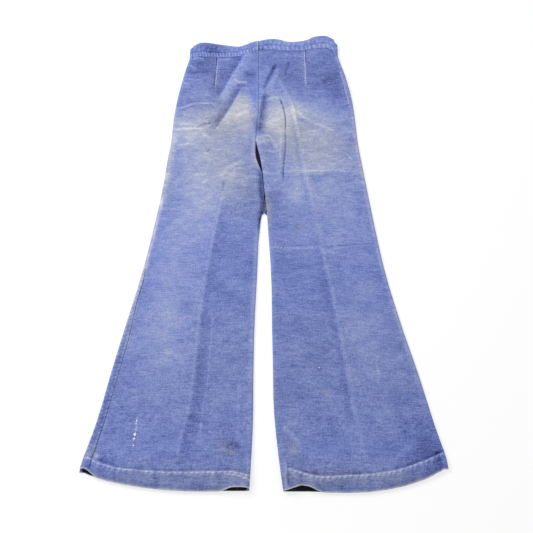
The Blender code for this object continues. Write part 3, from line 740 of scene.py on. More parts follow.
def lay_sheet(name, x, y, z, values, wall, faces_up, material):
    """A sheet from a grid of places, with values for its cloth and a wall, laid on the jeans."""
    rows, columns = x.shape
    mesh = bpy.data.meshes.new(name)
    shape = bmesh.new()
    bmesh.ops.create_grid(shape, x_segments=columns - 1, y_segments=rows - 1, size=0.5)
    shape.to_mesh(mesh)
    shape.free()
    flat = np.zeros(3 * len(mesh.vertices), np.float32)
    mesh.vertices.foreach_get("co", flat)
    flat = flat.reshape(-1, 3)
    column = np.rint((flat[:, 0] + 0.5) * (columns - 1)).astype(int)
    row = np.rint((flat[:, 1] + 0.5) * (rows - 1)).astype(int)
    points = np.stack([x[row, column], y[row, column], z[row, column]], axis=1)
    mesh.vertices.foreach_set("co", points.astype(np.float32).ravel())
    for attribute, value in {**values, "shift": weave_shift(x, y)}.items():
        layer = mesh.attributes.new(attribute, "FLOAT", "POINT")
        layer.data.foreach_set("value", value[row, column].astype(np.float32))
    mesh.update()
    facing = sum(face.normal.z * face.area for face in mesh.polygons)
    if (facing > 0) != faces_up:
        mesh.flip_normals()
    mesh.materials.append(material)
    mesh.shade_smooth()
    sheet = bpy.data.objects.new(name, mesh)
    scene.collection.objects.link(sheet)
    solid = sheet.modifiers.new("wall", "SOLIDIFY")
    solid.thickness = wall
    solid.offset = -1.0
    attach(sheet, "root")
    return sheet


def across_columns(columns):
    """Where each column lies: share of the flat middle, and turn round the inner and outer edge."""
    middle = np.linspace(0.0, 1.0, columns - 2 * EDGE_COLUMNS)
    share = np.concatenate([np.zeros(EDGE_COLUMNS), middle, np.ones(EDGE_COLUMNS)])
    turn = np.full(columns, math.pi / 2)
    turn[:EDGE_COLUMNS] = np.linspace(0.0, math.pi / 2, EDGE_COLUMNS, endpoint=False)
    turn[-EDGE_COLUMNS:] = turn[:EDGE_COLUMNS][::-1]
    return share, turn


def sheet_levels(low, high, coarseness):
    """Levels from the hem to the waist, as close together as the table of rows says."""
    levels, stretch = [low], iter(ROW_STEPS)
    top, step = next(stretch)
    while levels[-1] < high:
        if levels[-1] > top:
            top, step = next(stretch)
        levels.append(levels[-1] + step * coarseness)
    return low + (np.array(levels) - low) * (high - low) / (levels[-1] - low)


LOOK_INSET = 0.001  # heights are looked up this far in from the ends of a solid
WAIST_TUCK = 0.0040  # the panel goes on this far under the waistband
WAIST_TUCK_REACH = 0.05
SIDE_TUCK = (0.80, 0.12, 1.6)  # share of the way out where the tuck deepens, over this, by so much


def leg_sheet(side, layer, columns, coarseness):
    """Places of a leg panel's grid, where to look up their height, and the panel's outline."""
    outline = read_outline(f"{layer}_panel_{side}", side)
    outward = SIDES[side]
    share, turn = across_columns(columns)
    low, high = outline["hem"][1].mean(), outline["waist"][1].mean()
    share, level = np.meshgrid(share, sheet_levels(low, high, coarseness))
    turn = np.broadcast_to(turn, share.shape)
    side_from, side_over, deeper = SIDE_TUCK
    tuck = WAIST_TUCK * (1 + deeper * ease((share - side_from) / side_over))
    y = bowed(outline, share, level, low, high) + tuck * ease(1 - (high - level) / WAIST_TUCK_REACH)
    _, inner, outer = across(outline, share, y)
    first, last = inner + outward * EDGE_REACH, outer - outward * EDGE_REACH
    inner_x = inner + outward * (EDGE_REACH * (1 - np.cos(turn)))
    outer_x = outer - outward * (EDGE_REACH * (1 - np.cos(turn)))
    edge_x = np.where(share < 0.5, inner_x, outer_x)
    x = np.where(turn < math.pi / 2, edge_x, first + share * (last - first))
    hem, waist = (np.interp(share, *outline[end]) for end in ("hem", "waist"))
    look_x = np.clip(x, np.minimum(first, last), np.maximum(first, last))
    look_y = np.clip(y, hem + LOOK_INSET, waist - LOOK_INSET)
    return outline, x, y, look_x, look_y, turn, share


ROPE_LEAN = 0.5
GROOVE_HALF_WIDTH = 0.0012
# Rows sewn on the back: groove, pucker, fading of the row, of its puckers (their wear and a painted
# highlight) and painted shade on the cloth above it, how far the puckers reach, from one to the
# next, share of them above the row, path
SEWN_ROWS = {
    "hem_left": (0.0003, 0.0008, 0.34, 0.42, -0.06, 0.0055, 0.0105, 0.0, [
        (-0.334, -0.486), (-0.320, -0.492), (-0.300, -0.499), (-0.271, -0.506), (-0.231, -0.510),
        (-0.177, -0.513), (-0.120, -0.513), (-0.064, -0.512), (-0.028, -0.519)]),
    "hem_right": (0.0003, 0.0008, 0.34, 0.42, -0.12, 0.0055, 0.0105, 0.0, [
        (0.047, -0.506), (0.068, -0.513), (0.092, -0.519), (0.124, -0.521), (0.162, -0.519),
        (0.203, -0.517), (0.257, -0.508), (0.305, -0.492), (0.341, -0.477)]),
    "hem_left_again": (0.0003, 0.0004, 0.30, 0.20, 0.0, 0.0040, 0.0105, 0.0, [
        (-0.070, -0.516), (-0.048, -0.519), (-0.028, -0.526)]),
    "seat": (0.0004, 0.0004, -0.10, 0.16, 0.0, 0.0050, 0.0062, 1.0, [
        (-0.0150, 0.4980), (-0.0140, 0.4100), (-0.0140, 0.3500), (-0.0165, 0.2950), (-0.0215, 0.2380)]),
    "outseam": (0.0003, 0.0004, 0.00, 0.22, 0.0, 0.0040, 0.0066, 1.0, [
        (-0.2300, 0.085), (-0.2355, 0.040), (-0.2425, -0.010), (-0.2505, -0.058), (-0.2545, -0.090)]),
    "knee": (0.0004, 0.0003, 0.10, 0.24, -0.04, 0.0034, 0.0075, 0.4, [
        (0.0135, -0.0405), (0.0390, -0.0425), (0.0670, -0.0435), (0.0910, -0.0420), (0.1210, -0.0400)]),
}
SHADED_STRIP = (0.0040, 0.0026)  # where the cloth above a row is shaded: from the row, reach
ROPE_UNEVEN = (0.021, 2.2, 0.75, 0.5)  # size, waver of the step, least height, what it varies
ROPE_STEP = 0.007
SEWN_ROOM = 3.0  # reaches within which a row's puckers are worked out
ROW_IN_ROPE = 0.2
SEWN_SEED = 40.0


def roped(along, from_seam, reach, seed, step=ROPE_STEP, lean=ROPE_LEAN):
    """Slanted puckers, a step apart, that fade away from a seam, from 0 to about 1."""
    size, waver, least, varies = ROPE_UNEVEN
    uneven = wrinkled(along, from_seam, size, 1.0, seed)
    turn = math.tau * (along + lean * from_seam) / step + waver * uneven
    return (0.5 + 0.5 * np.sin(turn)) * bell(from_seam, reach) * (least + varies * uneven)


def sewn(x, y):
    """Height, and fading with painted highlights on the puckers and painted shade above the rows, that the
    sewn rows add.
    """
    height, fading_and_painted_light = np.zeros(x.shape), np.zeros(x.shape)
    strip_at, strip_reach = SHADED_STRIP
    for seed, row in enumerate(SEWN_ROWS.values()):
        groove, pucker, row_fade, pucker_fade, shade_above_row, reach, step, both, path = row
        near = near_path(x, y, path, SEWN_ROOM * reach)
        if not near.any():
            continue
        distance, side, along, _ = beside_path(x[near], y[near], path)
        line = bell(distance, GROOVE_HALF_WIDTH)
        rope = roped(along, distance, reach, SEWN_SEED + seed, step) * np.where(side > 0, both, 1.0)
        shade = bell(distance - strip_at, strip_reach) * (side > 0)
        height[near] += pucker * rope - groove * line
        fading_and_painted_light[near] += row_fade * line + pucker_fade * (rope - ROW_IN_ROPE * line) + shade_above_row * shade
    return height, fading_and_painted_light


# Wrinkles all over the back: size, stretch across the leg, seed, height, fading, which paints light
# on their rises and shade in their hollows
BACK_WRINKLES = [
    (0.0300, 1.6, 13.0, 0.00060, 0.06),
    (0.0120, 2.2, 3.0, 0.00035, 0.05),
    (0.0045, 2.5, 7.0, 0.00018, 0.00),
]
# Fine level creases over the thighs: size, stretch and seed of the wrinkles that they follow, and
# of those that break them up
LEVEL_LINES = (0.0090, 5.0, 19.0)
LEVEL_BREAKS = (0.0120, 2.2, 3.0)
LEVEL_SLOPE = 0.06
LEVEL_WIDTH = 0.09
LEVEL_HEIGHT = 0.0005
LEVEL_PALER = 0.12
THIGH_LOW = (0.02, 0.10)  # the lines come in above this level, over so much
THIGH_HIGH = (0.34, 0.04)  # they end below this level, over so much


def level_creases(side, x, y):
    """The fine level creases over the thighs, from 0 to 1."""
    size, stretch, seed = LEVEL_BREAKS
    breaks = wrinkled(x, y, size, stretch, seed + SIDES[side])
    lines = bell(wrinkled(x, y + LEVEL_SLOPE * x, *LEVEL_LINES), LEVEL_WIDTH)
    (low, low_over), (high, high_over) = THIGH_LOW, THIGH_HIGH
    return lines * ease(0.5 + breaks) * ease((y - low) / low_over) * ease((high - y) / high_over)


def relief(side, x, y):
    """What creases, wrinkles and seams add to the height of the back, and to its fading: wear, and painted
    highlights and shade.
    """
    lines = level_creases(side, x, y)
    height, fading_and_painted_light = LEVEL_HEIGHT * lines, LEVEL_PALER * lines
    for rise, change in (creased(x, y, BACK_CREASES), creased(x, y, PRESSED_CREASES), sewn(x, y)):
        height = height + rise
        fading_and_painted_light = fading_and_painted_light + change
    for size, stretch, seed, rise, change in BACK_WRINKLES:
        uneven = wrinkled(x, y, size, stretch, seed + SIDES[side])
        height = height + rise * uneven
        fading_and_painted_light = fading_and_painted_light + change * uneven
    return height, fading_and_painted_light


BACK_COLUMNS = 176
BACK_ABOUT = 0.010
EDGE_DOWN = 0.5  # a side edge comes down to this share of the cloth's height
SEAT_SEAM_DIP = 0.0012
TUCK_DROP = 0.0026
TUCK_DROP_FROM = 0.0002
TUCK_DROP_OVER = 0.003
AT_SIDE = (0.78, 0.12)  # share of the way out where the side begins, over so much
SIDE_DROP_LATER = 0.0034
SIDE_SHADE_LATER = 0.0024
UNDER_BAND_SHADE = (0.0028, 0.16)  # reach, darker by
HEM_CLOSED = 0.0050  # height of the hem's edge where the leg's mouth is shut
HEM_ROLL_REACH = 0.012
HEM_OVER = 0.0012  # where it is shut, the back's hem reaches this far past the front's
HEM_STRETCH = 0.030
# Mouths of the legs, where the hem stands open: x, half width, how far open
MOUTHS = [(-0.338, 0.017, 1.0), (-0.048, 0.026, 1.0), (0.066, 0.034, 1.0), (0.330, 0.010, 0.4)]
# The buckles' fading paints light on their rises and shade in their hollows.
HEM_BUCKLE = (0.013, 51.0, 0.0008, 0.14)  # size, seed, height, fading
HEM_BUCKLE_LONGER = 0.35
HEM_BUCKLE_TOP = (0.040, 0.010)  # the hem buckles below this, over so much
HEM_EDGE_REACH = 0.0022
HEM_EDGE_PALER = 0.5
HEM_EDGE_GREYER = 0.5
SIDE_EDGE_SHARE = 0.02
SIDE_EDGE_PALER = 0.05
# Painted light on the side edges that face away from the lamp and lie in its shade.
FAR_EDGE_PAINTED_LIGHT = (0.11, -0.42, 0.2)  # away from the lamp: paler by, above this level, over so much


def back_fading(side, x, y, share, fading_and_painted_light, joined):
    """Fading of the back away from its hem and its waist, with the painted highlights and shade of its
    relief and painted light on the side edges away from the lamp.
    """
    away_from_lamp = (share < 0.5) if side == "left" else (share > 0.5)
    paler, low, over = FAR_EDGE_PAINTED_LIGHT
    edge_wear_and_light = SIDE_EDGE_PALER + paler * ease((y - low) / over) * away_from_lamp
    near_edge = bell(np.minimum(share, 1 - share), SIDE_EDGE_SHARE)
    return BASE_FADE + patches(x, y, BACK_FADING) + fading_and_painted_light + near_edge * (1 - joined) * edge_wear_and_light


def back_panel(side):
    """One back leg, from its solid's height and all that creases, sews and wears it."""
    outline, x, y, look_x, look_y, turn, share = leg_sheet(side, "back", BACK_COLUMNS, 1.0)
    solid = drop_height(node_tree_of(f"back_panel_{side}"), look_x, look_y, BACK_ABOUT)
    solid = smoothed(solid, HEIGHT_PASSES)
    rise, fading_and_painted_light = relief(side, x, y)
    hem, waist = (np.interp(share, *outline[end]) for end in ("hem", "waist"))
    from_hem, from_waist = y - hem, waist - y

    buckle_size, buckle_seed, buckle_height, buckle_light_and_shade = HEM_BUCKLE
    buckle_top, buckle_over = HEM_BUCKLE_TOP
    buckle = wrinkled(x, HEM_BUCKLE_LONGER * y, buckle_size, 1.0, buckle_seed)
    buckle = buckle * ease((buckle_top - from_hem) / buckle_over)
    mouths = [opened * np.exp(-(((x - middle) / half) ** 4)) for middle, half, opened in MOUTHS]
    shut = np.clip(1 - sum(mouths), 0, 1)
    top = solid + rise + buckle_height * buckle
    top = top + shut * ease(1 - from_hem / HEM_ROLL_REACH) * (np.minimum(top, HEM_CLOSED) - top)

    side_from, side_over = AT_SIDE
    at_side = ease((share - side_from) / side_over)
    drop_from = TUCK_DROP_FROM - SIDE_DROP_LATER * at_side
    top = top - TUCK_DROP * ease((drop_from - from_waist) / TUCK_DROP_OVER)
    joined = ease((y - CROTCH) / SEAT_BLEND) * (share < 0.5)
    edge_z = EDGE_DOWN * solid
    round_z = edge_z + (top - edge_z) * np.sin(turn)
    seam_z = top - SEAT_SEAM_DIP * (1 - np.sin(turn))
    z = round_z + (seam_z - round_z) * joined

    shade_reach, painted_shade = UNDER_BAND_SHADE
    hem_edge = bell(from_hem, HEM_EDGE_REACH)
    faded = back_fading(side, x, y, share, fading_and_painted_light, joined) + HEM_EDGE_PALER * hem_edge
    faded = faded + buckle_light_and_shade * buckle
    faded = faded - painted_shade * bell(from_waist + SIDE_SHADE_LATER * at_side, shade_reach)
    greyed = patches(x, y, BACK_GREYING) + HEM_EDGE_GREYER * hem_edge
    under_hem = np.interp(share, *read_outline(f"front_panel_{side}", side)["hem"])
    y = y - (hem - under_hem + HEM_OVER) * shut * ease(1 - from_hem / HEM_STRETCH)
    values = {"faded": faded, "greyed": greyed}
    sheet = lay_sheet(f"back_leg_{side}", x, y, z, values, CLOTH_WALL, True, panel_denim)
    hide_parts(f"back_panel_{side}")
    return sheet, outline


back_legs, back_outlines = {}, {}
for side in SIDES:
    back_legs[side], back_outlines[side] = back_panel(side)

# The front panels lie underneath, face down on the table. They show only at the hems, past the
# crotch and from low down. The back hides their creases and fading, so those are a guess.
FRONT_COLUMNS = 72
FRONT_COARSENESS = 1.6
FRONT_HEIGHT = 0.0003
FRONT_SIDE_RISE = 0.0024
FRONT_HEM_REACH = 0.0020
# Below the crotch the front's inner edge lies further in, and its inside shows, painted dark as the
# shade in the gap between the legs
GAP_LOW = (0.040, 0.010)  # lowest level, levels over which it comes in
GAP_HIGH = (CROTCH + 0.012, 0.012)  # the same at the crotch
GAP_SETBACK = 0.012
GAP_SHARPNESS = 24
GAP_SHARE = 0.08
GAP_PAINTED_SHADE = (0.25, 0.90)  # at the low end, and more than that higher up
GAP_PAINTED_SHADE_FROM = (0.080, 0.020)
GAP_GREYER = 0.7
GAP_GREYER_BELOW = (0.095, 0.020)
# Creases of the front: the same columns as for the back
FRONT_CREASES = [
    (0.0006, 0.0060, 0.0, 0.14, [(-0.190, 0.300), (-0.130, 0.285), (-0.060, 0.262)]),
    (0.0006, 0.0050, 0.0, 0.12, [(-0.195, 0.262), (-0.140, 0.252), (-0.080, 0.235)]),
    (0.0006, 0.0060, 0.0, 0.14, [(0.190, 0.302), (0.130, 0.288), (0.065, 0.260)]),
    (0.0006, 0.0050, 0.0, 0.12, [(0.196, 0.255), (0.140, 0.250), (0.085, 0.230)]),
    (0.0005, 0.0060, 0.0, 0.10, [(-0.200, -0.010), (-0.130, 0.000), (-0.060, -0.012)]),
    (0.0005, 0.0060, 0.0, 0.10, [(0.205, -0.020), (0.140, -0.008), (0.060, -0.020)]),
]
# Fading of the front: the same columns as for the back
FRONT_FADING = [
    (-0.120, 0.180, 0.080, 0.140, 0, 0.26),
    (0.120, 0.180, 0.080, 0.140, 0, 0.24),
    (-0.150, -0.050, 0.070, 0.120, 0, 0.16),
    (0.150, -0.050, 0.070, 0.120, 0, 0.16),
]


def front_panel(side):
    """One front leg, flat on the table, with its inside painted dark as shade where it shows below the
    crotch.
    """
    outline, x, y, _, _, turn, share = leg_sheet(side, "front", FRONT_COLUMNS, FRONT_COARSENESS)
    rise, fading_and_painted_light = creased(x, y, FRONT_CREASES)
    joined = ease((y - CROTCH) / SEAT_BLEND) * (share < 0.5)
    z = FRONT_HEIGHT + (FRONT_SIDE_RISE * (1 - np.sin(turn)) + np.maximum(rise, 0)) * (1 - joined)
    (low, low_over), (high, high_over) = GAP_LOW, GAP_HIGH
    in_gap = ease((y - low) / low_over) * ease((high - y) / high_over)
    x = x - SIDES[side] * GAP_SETBACK * in_gap * (1 - share) ** GAP_SHARPNESS
    hem_edge = bell(y - np.interp(share, *outline["hem"]), FRONT_HEM_REACH)
    faded = BASE_FADE + patches(x, y, FRONT_FADING) + fading_and_painted_light + HEM_EDGE_PALER * hem_edge
    greyed = HEM_EDGE_GREYER * hem_edge
    shaded = in_gap * (share < GAP_SHARE)
    painted_shade, darker_above = GAP_PAINTED_SHADE
    dark_from, dark_over = GAP_PAINTED_SHADE_FROM
    grey_below, grey_over = GAP_GREYER_BELOW
    # Painted shade on the inside where it shows in the gap, greyed low down.
    inside_faded = faded - (painted_shade + darker_above * ease((y - dark_from) / dark_over)) * shaded
    inside_greyed = greyed + GAP_GREYER * ease((grey_below - y) / grey_over) * shaded
    values = {
        "faded": faded, "greyed": greyed,
        "inside_faded": inside_faded, "inside_greyed": inside_greyed,
    }
    sheet = lay_sheet(f"front_leg_{side}", x, y, z, values, CLOTH_WALL, False, panel_denim)
    sheet.data.materials.append(inside_denim_with_shade)
    sheet.modifiers["wall"].material_offset = 1
    sheet.modifiers["wall"].material_offset_rim = 1
    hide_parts(f"front_panel_{side}")
    return sheet, outline


inside_denim_with_shade = cloth_material("inside_denim_with_shade", PANEL_WEAVE_DEPTH, "inside_")
front_legs, front_outlines = {}, {}
for side in SIDES:
    front_legs[side], front_outlines[side] = front_panel(side)

# The waistband is one strip a side, from the centre back round the side to the centre front,
# where the right one laps under the left. Its seam is roped and its worn edges are pale.
BAND_WALL = 0.0018
BAND_SPLIT = 0.0045  # the back of the band lies above this height, and its front below
BAND_ROWS = 30
BAND_BACK_COLUMNS = 190
BAND_TURN_COLUMNS = 9
BAND_FRONT_COLUMNS = 70
BAND_REACH = 0.0040
BAND_FADE = 0.46
BAND_PALEST = 0.74
BAND_WEAVE_DEPTH = 0.0006
BAND_PASSES = 6
BAND_ABOUT = 0.012
BAND_LOOK_INSET = 0.03
BAND_FRONT_LIFT = 0.0006
BAND_SLICE_INSET = 0.004
CENTRE_GAP = {"left": 0.0, "right": 0.0009}
CENTRE_CLEAR = 0.0015
BAND_SEED = 11.0
ROPE_SHADE = 0.24
# The band's wrinkles paint light on their rises and shade in their hollows.
BAND_WRINKLES = (0.014, 0.7, 21.0, 0.0005, 0.08)  # size, stretch, seed, height, fading
BAND_ROLL = (0.0012, 0.035, 0.030)  # depth, reach of the seam and of the top edge
BAND_EDGES = (0.30, 0.0014, 0.16, 0.0012)  # paler by and reach at the top, and at the seam
# At the centre back: painted shade in the slit, darker by, reach, then the edge beside it: paler by,
# from the slit, reach
CENTRE_SLIT = (0.55, 0.0015, 0.24, 0.0036, 0.0013)
# The band's two rows of puckers: how far up, half height, from one to the next on the left and
# on the right, lean, height, fading, which is their wear and a painted highlight
BAND_PUCKERS = [
    (0.0070, 0.0070, 0.0074, 0.0112, 0.15, 0.0008, 0.34),
    (0.0235, 0.0080, 0.0118, 0.0118, -0.35, 0.0006, 0.14),
]
# The groove between the rows of puckers is painted with shade.
BAND_GROOVE = (0.0152, 0.0018, 0.0005, 0.14)  # how far up, half height, depth, darker by
SIDE_DIP = (0.1722, 0.0048, 0.0030)  # x, half width and depth of a dip in the right half's seam
CORNER_ROUND = 0.0050
CORNER_REACH = 0.013
CORNER_POWER = 1.5
# Fading of the band: x, y, reach along x and y, turn in degrees, change
BAND_FADING = [
    (-0.130, 0.512, 0.030, 0.020, 0, -0.14),
    (0.060, 0.535, 0.050, 0.020, 0, 0.16),
    (0.150, 0.520, 0.030, 0.020, 0, 0.12),
    (-0.060, 0.530, 0.040, 0.014, 0, 0.08),
    (-0.014, 0.520, 0.003, 0.030, 0, 0.14),
]


def band_face(edges, columns, first, last):
    """x, seam and top edge of one face of the band, at columns from first to last."""
    share = np.linspace(0, 1, columns)
    inside = first + np.clip(share, BAND_SLICE_INSET, 1 - BAND_SLICE_INSET) * (last - first)
    spans = np.array([slice_span(edges, 0, place) for place in inside])
    return first + share * (last - first), spans[:, 0], spans[:, 1]


def band_way(side):
    """x, seam and top edge along half the band: its back, the turn at the side, and its front."""
    outward = SIDES[side]
    edges = node_edges(f"waistband_{side}")
    heights = edges[:, :, 2].mean(axis=1)
    back, front = edges[heights > BAND_SPLIT], edges[heights < BAND_SPLIT]
    outer = outward * (outward * edges[:, :, 0]).max()
    centre = outward * ((outward * back[:, :, 0]).min() + CENTRE_GAP[side])
    lap = outward * (outward * front[:, :, 0]).min()
    turned = outer - outward * BAND_REACH
    back_face = np.array(band_face(back, BAND_BACK_COLUMNS, centre, turned))
    front_face = np.array(band_face(front, BAND_FRONT_COLUMNS, turned, lap))
    dip_x, dip_half, dip_deep = SIDE_DIP
    back_face[1] -= dip_deep * bell(back_face[0] - dip_x, dip_half)
    turn = np.linspace(0, math.pi, BAND_TURN_COLUMNS + 2)[1:-1]
    side_face = back_face[:, -1:] + turn / math.pi * (front_face[:, :1] - back_face[:, -1:])
    side_face[0] = turned + outward * BAND_REACH * np.sin(turn)
    xs, lows, highs = np.hstack([back_face, side_face, front_face])
    highs = highs - CORNER_ROUND * ease(1 - np.abs(outer - xs) / CORNER_REACH) ** CORNER_POWER
    return xs, lows, highs, turn, centre, list(zip(*back_face))


def band_ropes(side, x, seam_up):
    """Height, and fading with painted highlights on the puckers and painted shade in the groove,
    that the band's rows of puckers and the groove between them add.
    """
    groove_up, groove_half, groove_deep, groove_shade = BAND_GROOVE
    groove = bell(seam_up - groove_up, groove_half)
    height, fading_and_painted_light = -groove_deep * groove, -groove_shade * groove
    for seed, (row_up, half, left_step, right_step, lean, rise, paler) in enumerate(BAND_PUCKERS):
        step = left_step if side == "left" else right_step
        rope = roped(x, seam_up - row_up, half, BAND_SEED + seed, step, lean)
        height = height + rise * rope
        fading_and_painted_light = fading_and_painted_light + paler * (rope - ROPE_SHADE * bell(seam_up - row_up, half))
    return height, fading_and_painted_light


def band_fading(x, y, lows, highs, from_centre):
    """How the band has faded: patches, its worn edges, and painted shade in the slit at the centre back.
    """
    top_paler, top_reach, seam_paler, seam_reach = BAND_EDGES
    painted_shade, slit_reach, beside_paler, beside, beside_reach = CENTRE_SLIT
    worn = top_paler * bell(highs - y, top_reach) + seam_paler * bell(y - lows, seam_reach)
    slit = beside_paler * bell(from_centre - beside, beside_reach) - painted_shade * bell(from_centre, slit_reach)
    return BAND_FADE + patches(x, y, BAND_FADING) + worn + slit


def waistband(side):
    """Half of the waistband, roped along its seam, and the line of its back."""
    outward = SIDES[side]
    xs, lows, highs, turn, centre, back_line = band_way(side)
    up = np.linspace(0, 1, BAND_ROWS)[:, None]
    x = np.broadcast_to(xs, (BAND_ROWS, xs.size))
    y = lows + up * (highs - lows)
    look_y = lows + np.clip(up, BAND_LOOK_INSET, 1 - BAND_LOOK_INSET) * (highs - lows)
    clear = centre + outward * CENTRE_CLEAR
    look_x = np.where(outward * x < outward * clear, clear, x)
    tree = node_tree_of(f"waistband_{side}")
    back, front = slice(0, BAND_BACK_COLUMNS), slice(BAND_BACK_COLUMNS + BAND_TURN_COLUMNS, None)
    z_back = smoothed(drop_height(tree, look_x[:, back], look_y[:, back], BAND_ABOUT), BAND_PASSES)
    z_front = drop_height(tree, x[:, front], look_y[:, front], 0.0, from_above=False)
    z_front = z_front + BAND_FRONT_LIFT
    middle = 0.5 * (z_back[:, -1:] + z_front[:, :1])
    z_turn = middle + (z_back[:, -1:] - middle) * np.cos(turn)

    size, stretch, seed, wrinkle_height, wrinkle_paler = BAND_WRINKLES
    uneven = wrinkled(x, y, size, stretch, seed)
    rope_height, rope_fading = band_ropes(side, x, y - lows)
    roll, seam_reach, top_reach = BAND_ROLL
    rolled = roll * (bell(up, seam_reach) + bell(1 - up, top_reach))
    on_back = np.arange(xs.size) < BAND_BACK_COLUMNS
    z = np.hstack([z_back, z_turn, z_front]) + on_back * (rope_height + wrinkle_height * uneven - rolled)
    faded = band_fading(x, y, lows, highs, outward * (x - centre)) + rope_fading + wrinkle_paler * uneven
    values = {"faded": np.minimum(faded, BAND_PALEST), "greyed": np.zeros(x.shape)}
    sheet = lay_sheet(f"band_{side}", x, y, z, values, BAND_WALL, True, band_denim)
    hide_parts(f"waistband_{side}")
    return sheet, back_line


band_denim = cloth_material("band_denim", BAND_WEAVE_DEPTH)
waistbands, band_lines = {}, {}
for side in SIDES:
    waistbands[side], band_lines[side] = waistband(side)

# Each hem is turned up inside the leg and sewn round. The turn-up shows only in the mouths of
# the legs, where it is painted dark and grey as the shade inside them.
TURN_UP_DEPTH = 0.033
TURN_UP_WALL = 0.0010
TURN_UP_INSET = 0.0014
TURN_UP_SETBACK = 0.0006
TURN_UP_PAINTED_SHADE = -0.05
TURN_UP_SHADE_GREYED = 0.8
TURN_UP_COLUMNS = 90
TURN_UP_ROWS = 12
TURN_UP_ABOUT = 0.004
TURN_UP_SIDE_COLUMNS = 5
TURN_UP_WEAVE_DEPTH = 0.0004


def surface_of(*sheets):
    """The outer faces of sheets, to find their height."""
    points, faces = [], []
    for sheet in sheets:
        first = len(points)
        points += [vert.co for vert in sheet.data.vertices]
        faces += [[first + k for k in face.vertices] for face in sheet.data.polygons]
    return BVHTree.FromPolygons(points, faces)


def turn_up(side):
    """The turning inside one hem, a ring between the back's cloth and the front's."""
    outward = SIDES[side]
    shares = np.linspace(0, 1, TURN_UP_COLUMNS)
    up = np.linspace(0.0, TURN_UP_DEPTH, TURN_UP_ROWS)[:, None]
    layers = []
    for above in (True, False):
        outline = back_outlines[side] if above else front_outlines[side]
        bows = np.interp(shares, *outline["hem"])
        y = bows + up
        _, inner, outer = across(outline, shares, y)
        first = inner + outward * (TURN_UP_INSET + EDGE_REACH)
        last = outer - outward * (TURN_UP_INSET + EDGE_REACH)
        x = first + shares * (last - first)
        look_y = np.maximum(y, bows + LOOK_INSET)
        cloth = surface_of(back_legs[side] if above else front_legs[side])
        z = drop_height(cloth, x, look_y, TURN_UP_ABOUT, from_above=above)
        layers.append((x, y + TURN_UP_SETBACK, z - TURN_UP_INSET if above else z + TURN_UP_INSET))
    (x_top, y_top, z_top), (x_low, y_low, z_low) = layers
    turn = np.linspace(0, math.pi, TURN_UP_SIDE_COLUMNS + 2)[1:-1]

    def turned(column, way):
        """Columns round one side of the ring."""
        middle = 0.5 * (z_top[:, column:column + 1] + z_low[:, column:column + 1])
        x = x_top[:, column:column + 1] + way * EDGE_REACH * np.sin(turn)
        z = middle + (z_top[:, column:column + 1] - middle) * np.cos(turn)
        return x, np.broadcast_to(y_top[:, column:column + 1], x.shape), z

    outer_x, outer_y, outer_z = turned(TURN_UP_COLUMNS - 1, outward)
    inner_x, inner_y, inner_z = turned(0, -outward)
    x = np.hstack([x_top, outer_x, x_low[:, ::-1], inner_x[:, ::-1], x_top[:, :1]])
    y = np.hstack([y_top, outer_y, y_low[:, ::-1], inner_y[:, ::-1], y_top[:, :1]])
    z = np.hstack([z_top, outer_z, z_low[:, ::-1], inner_z[:, ::-1], z_top[:, :1]])
    values = {"faded": np.full(x.shape, TURN_UP_PAINTED_SHADE), "greyed": np.full(x.shape, TURN_UP_SHADE_GREYED)}
    sheet = lay_sheet(f"turn_up_{side}", x, y, z, values, TURN_UP_WALL, True, hem_denim)
    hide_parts(f"hem_{side}")
    return sheet


hem_denim = cloth_material("hem_denim", TURN_UP_WEAVE_DEPTH)
turn_ups = {side: turn_up(side) for side in SIDES}

# The outseams are felled. The left one has rolled on top from the knee down, and the right one
# at the hip, so that their folded cloth shows as a raised, roped strip with two pale rows.
FELL_WALL = 0.0009
FELL_LIFT = 0.0011
FELL_COLUMNS = 14
FELL_ABOUT = 0.006
FELL_ROWS = {"left": 300, "right": 110}
FELL_TRIM = 0.0006
FELL_INSET = 0.0016  # from the edge of the leg
FELL_SINK = (0.0024, 0.006)  # the left strip's foot goes in under the hem's turning, over so much
FELL_START = (0.25, 0.05, 0.3)  # share of the lift at the top, over so much, outer share all lifted
FELL_STEP = 0.0085
FELL_LEAN = 0.3
FELL_ROPE_REACH = 0.004
FELL_ROPE = 0.0006
FELL_OUTER_ROPE = 0.7
FELL_OUTER_SHIFT = 0.003
FELL_FLAT_EDGE = 6
FELL_SEEDS = (31.0, 37.0)
FELL_WRINKLES = (0.006, 71.0, 0.08)  # size, seed, fading
# The paleness of the fells' puckers is their wear and a painted highlight.
FELL_PALER = (0.34, 0.30)  # the inner and the outer row of puckers
ROPE_MIDDLE = 0.3
# Fading of each strip down its length: y, fading at its inner edge, at its outer edge, greyed
FELL_FADING = {
    "left": [
        (-0.515, 0.44, 0.46, 0.1), (-0.478, 0.66, 0.74, 0.4), (-0.455, 0.46, 0.46, 0.1),
        (-0.300, 0.50, 0.52, 0.1), (-0.200, 0.62, 0.70, 0.3), (-0.120, 0.78, 0.86, 0.4),
        (-0.070, 0.70, 0.76, 0.3)],
    "right": [(0.300, 0.66, 0.62, 0.2), (0.360, 0.66, 0.60, 0.2), (0.462, 0.62, 0.56, 0.1)],
}
# Width of each strip as it shows: y, width
FELL_WIDTHS = {
    "left": [
        (-0.515, 0.0165), (-0.480, 0.0158), (-0.430, 0.0138), (-0.255, 0.0140), (-0.205, 0.0098),
        (-0.165, 0.0060), (-0.120, 0.0056), (-0.085, 0.0050), (-0.070, 0.0012)],
    "right": [(0.298, 0.0020), (0.315, 0.0090), (0.380, 0.0110), (0.440, 0.0095), (0.462, 0.0040)],
}


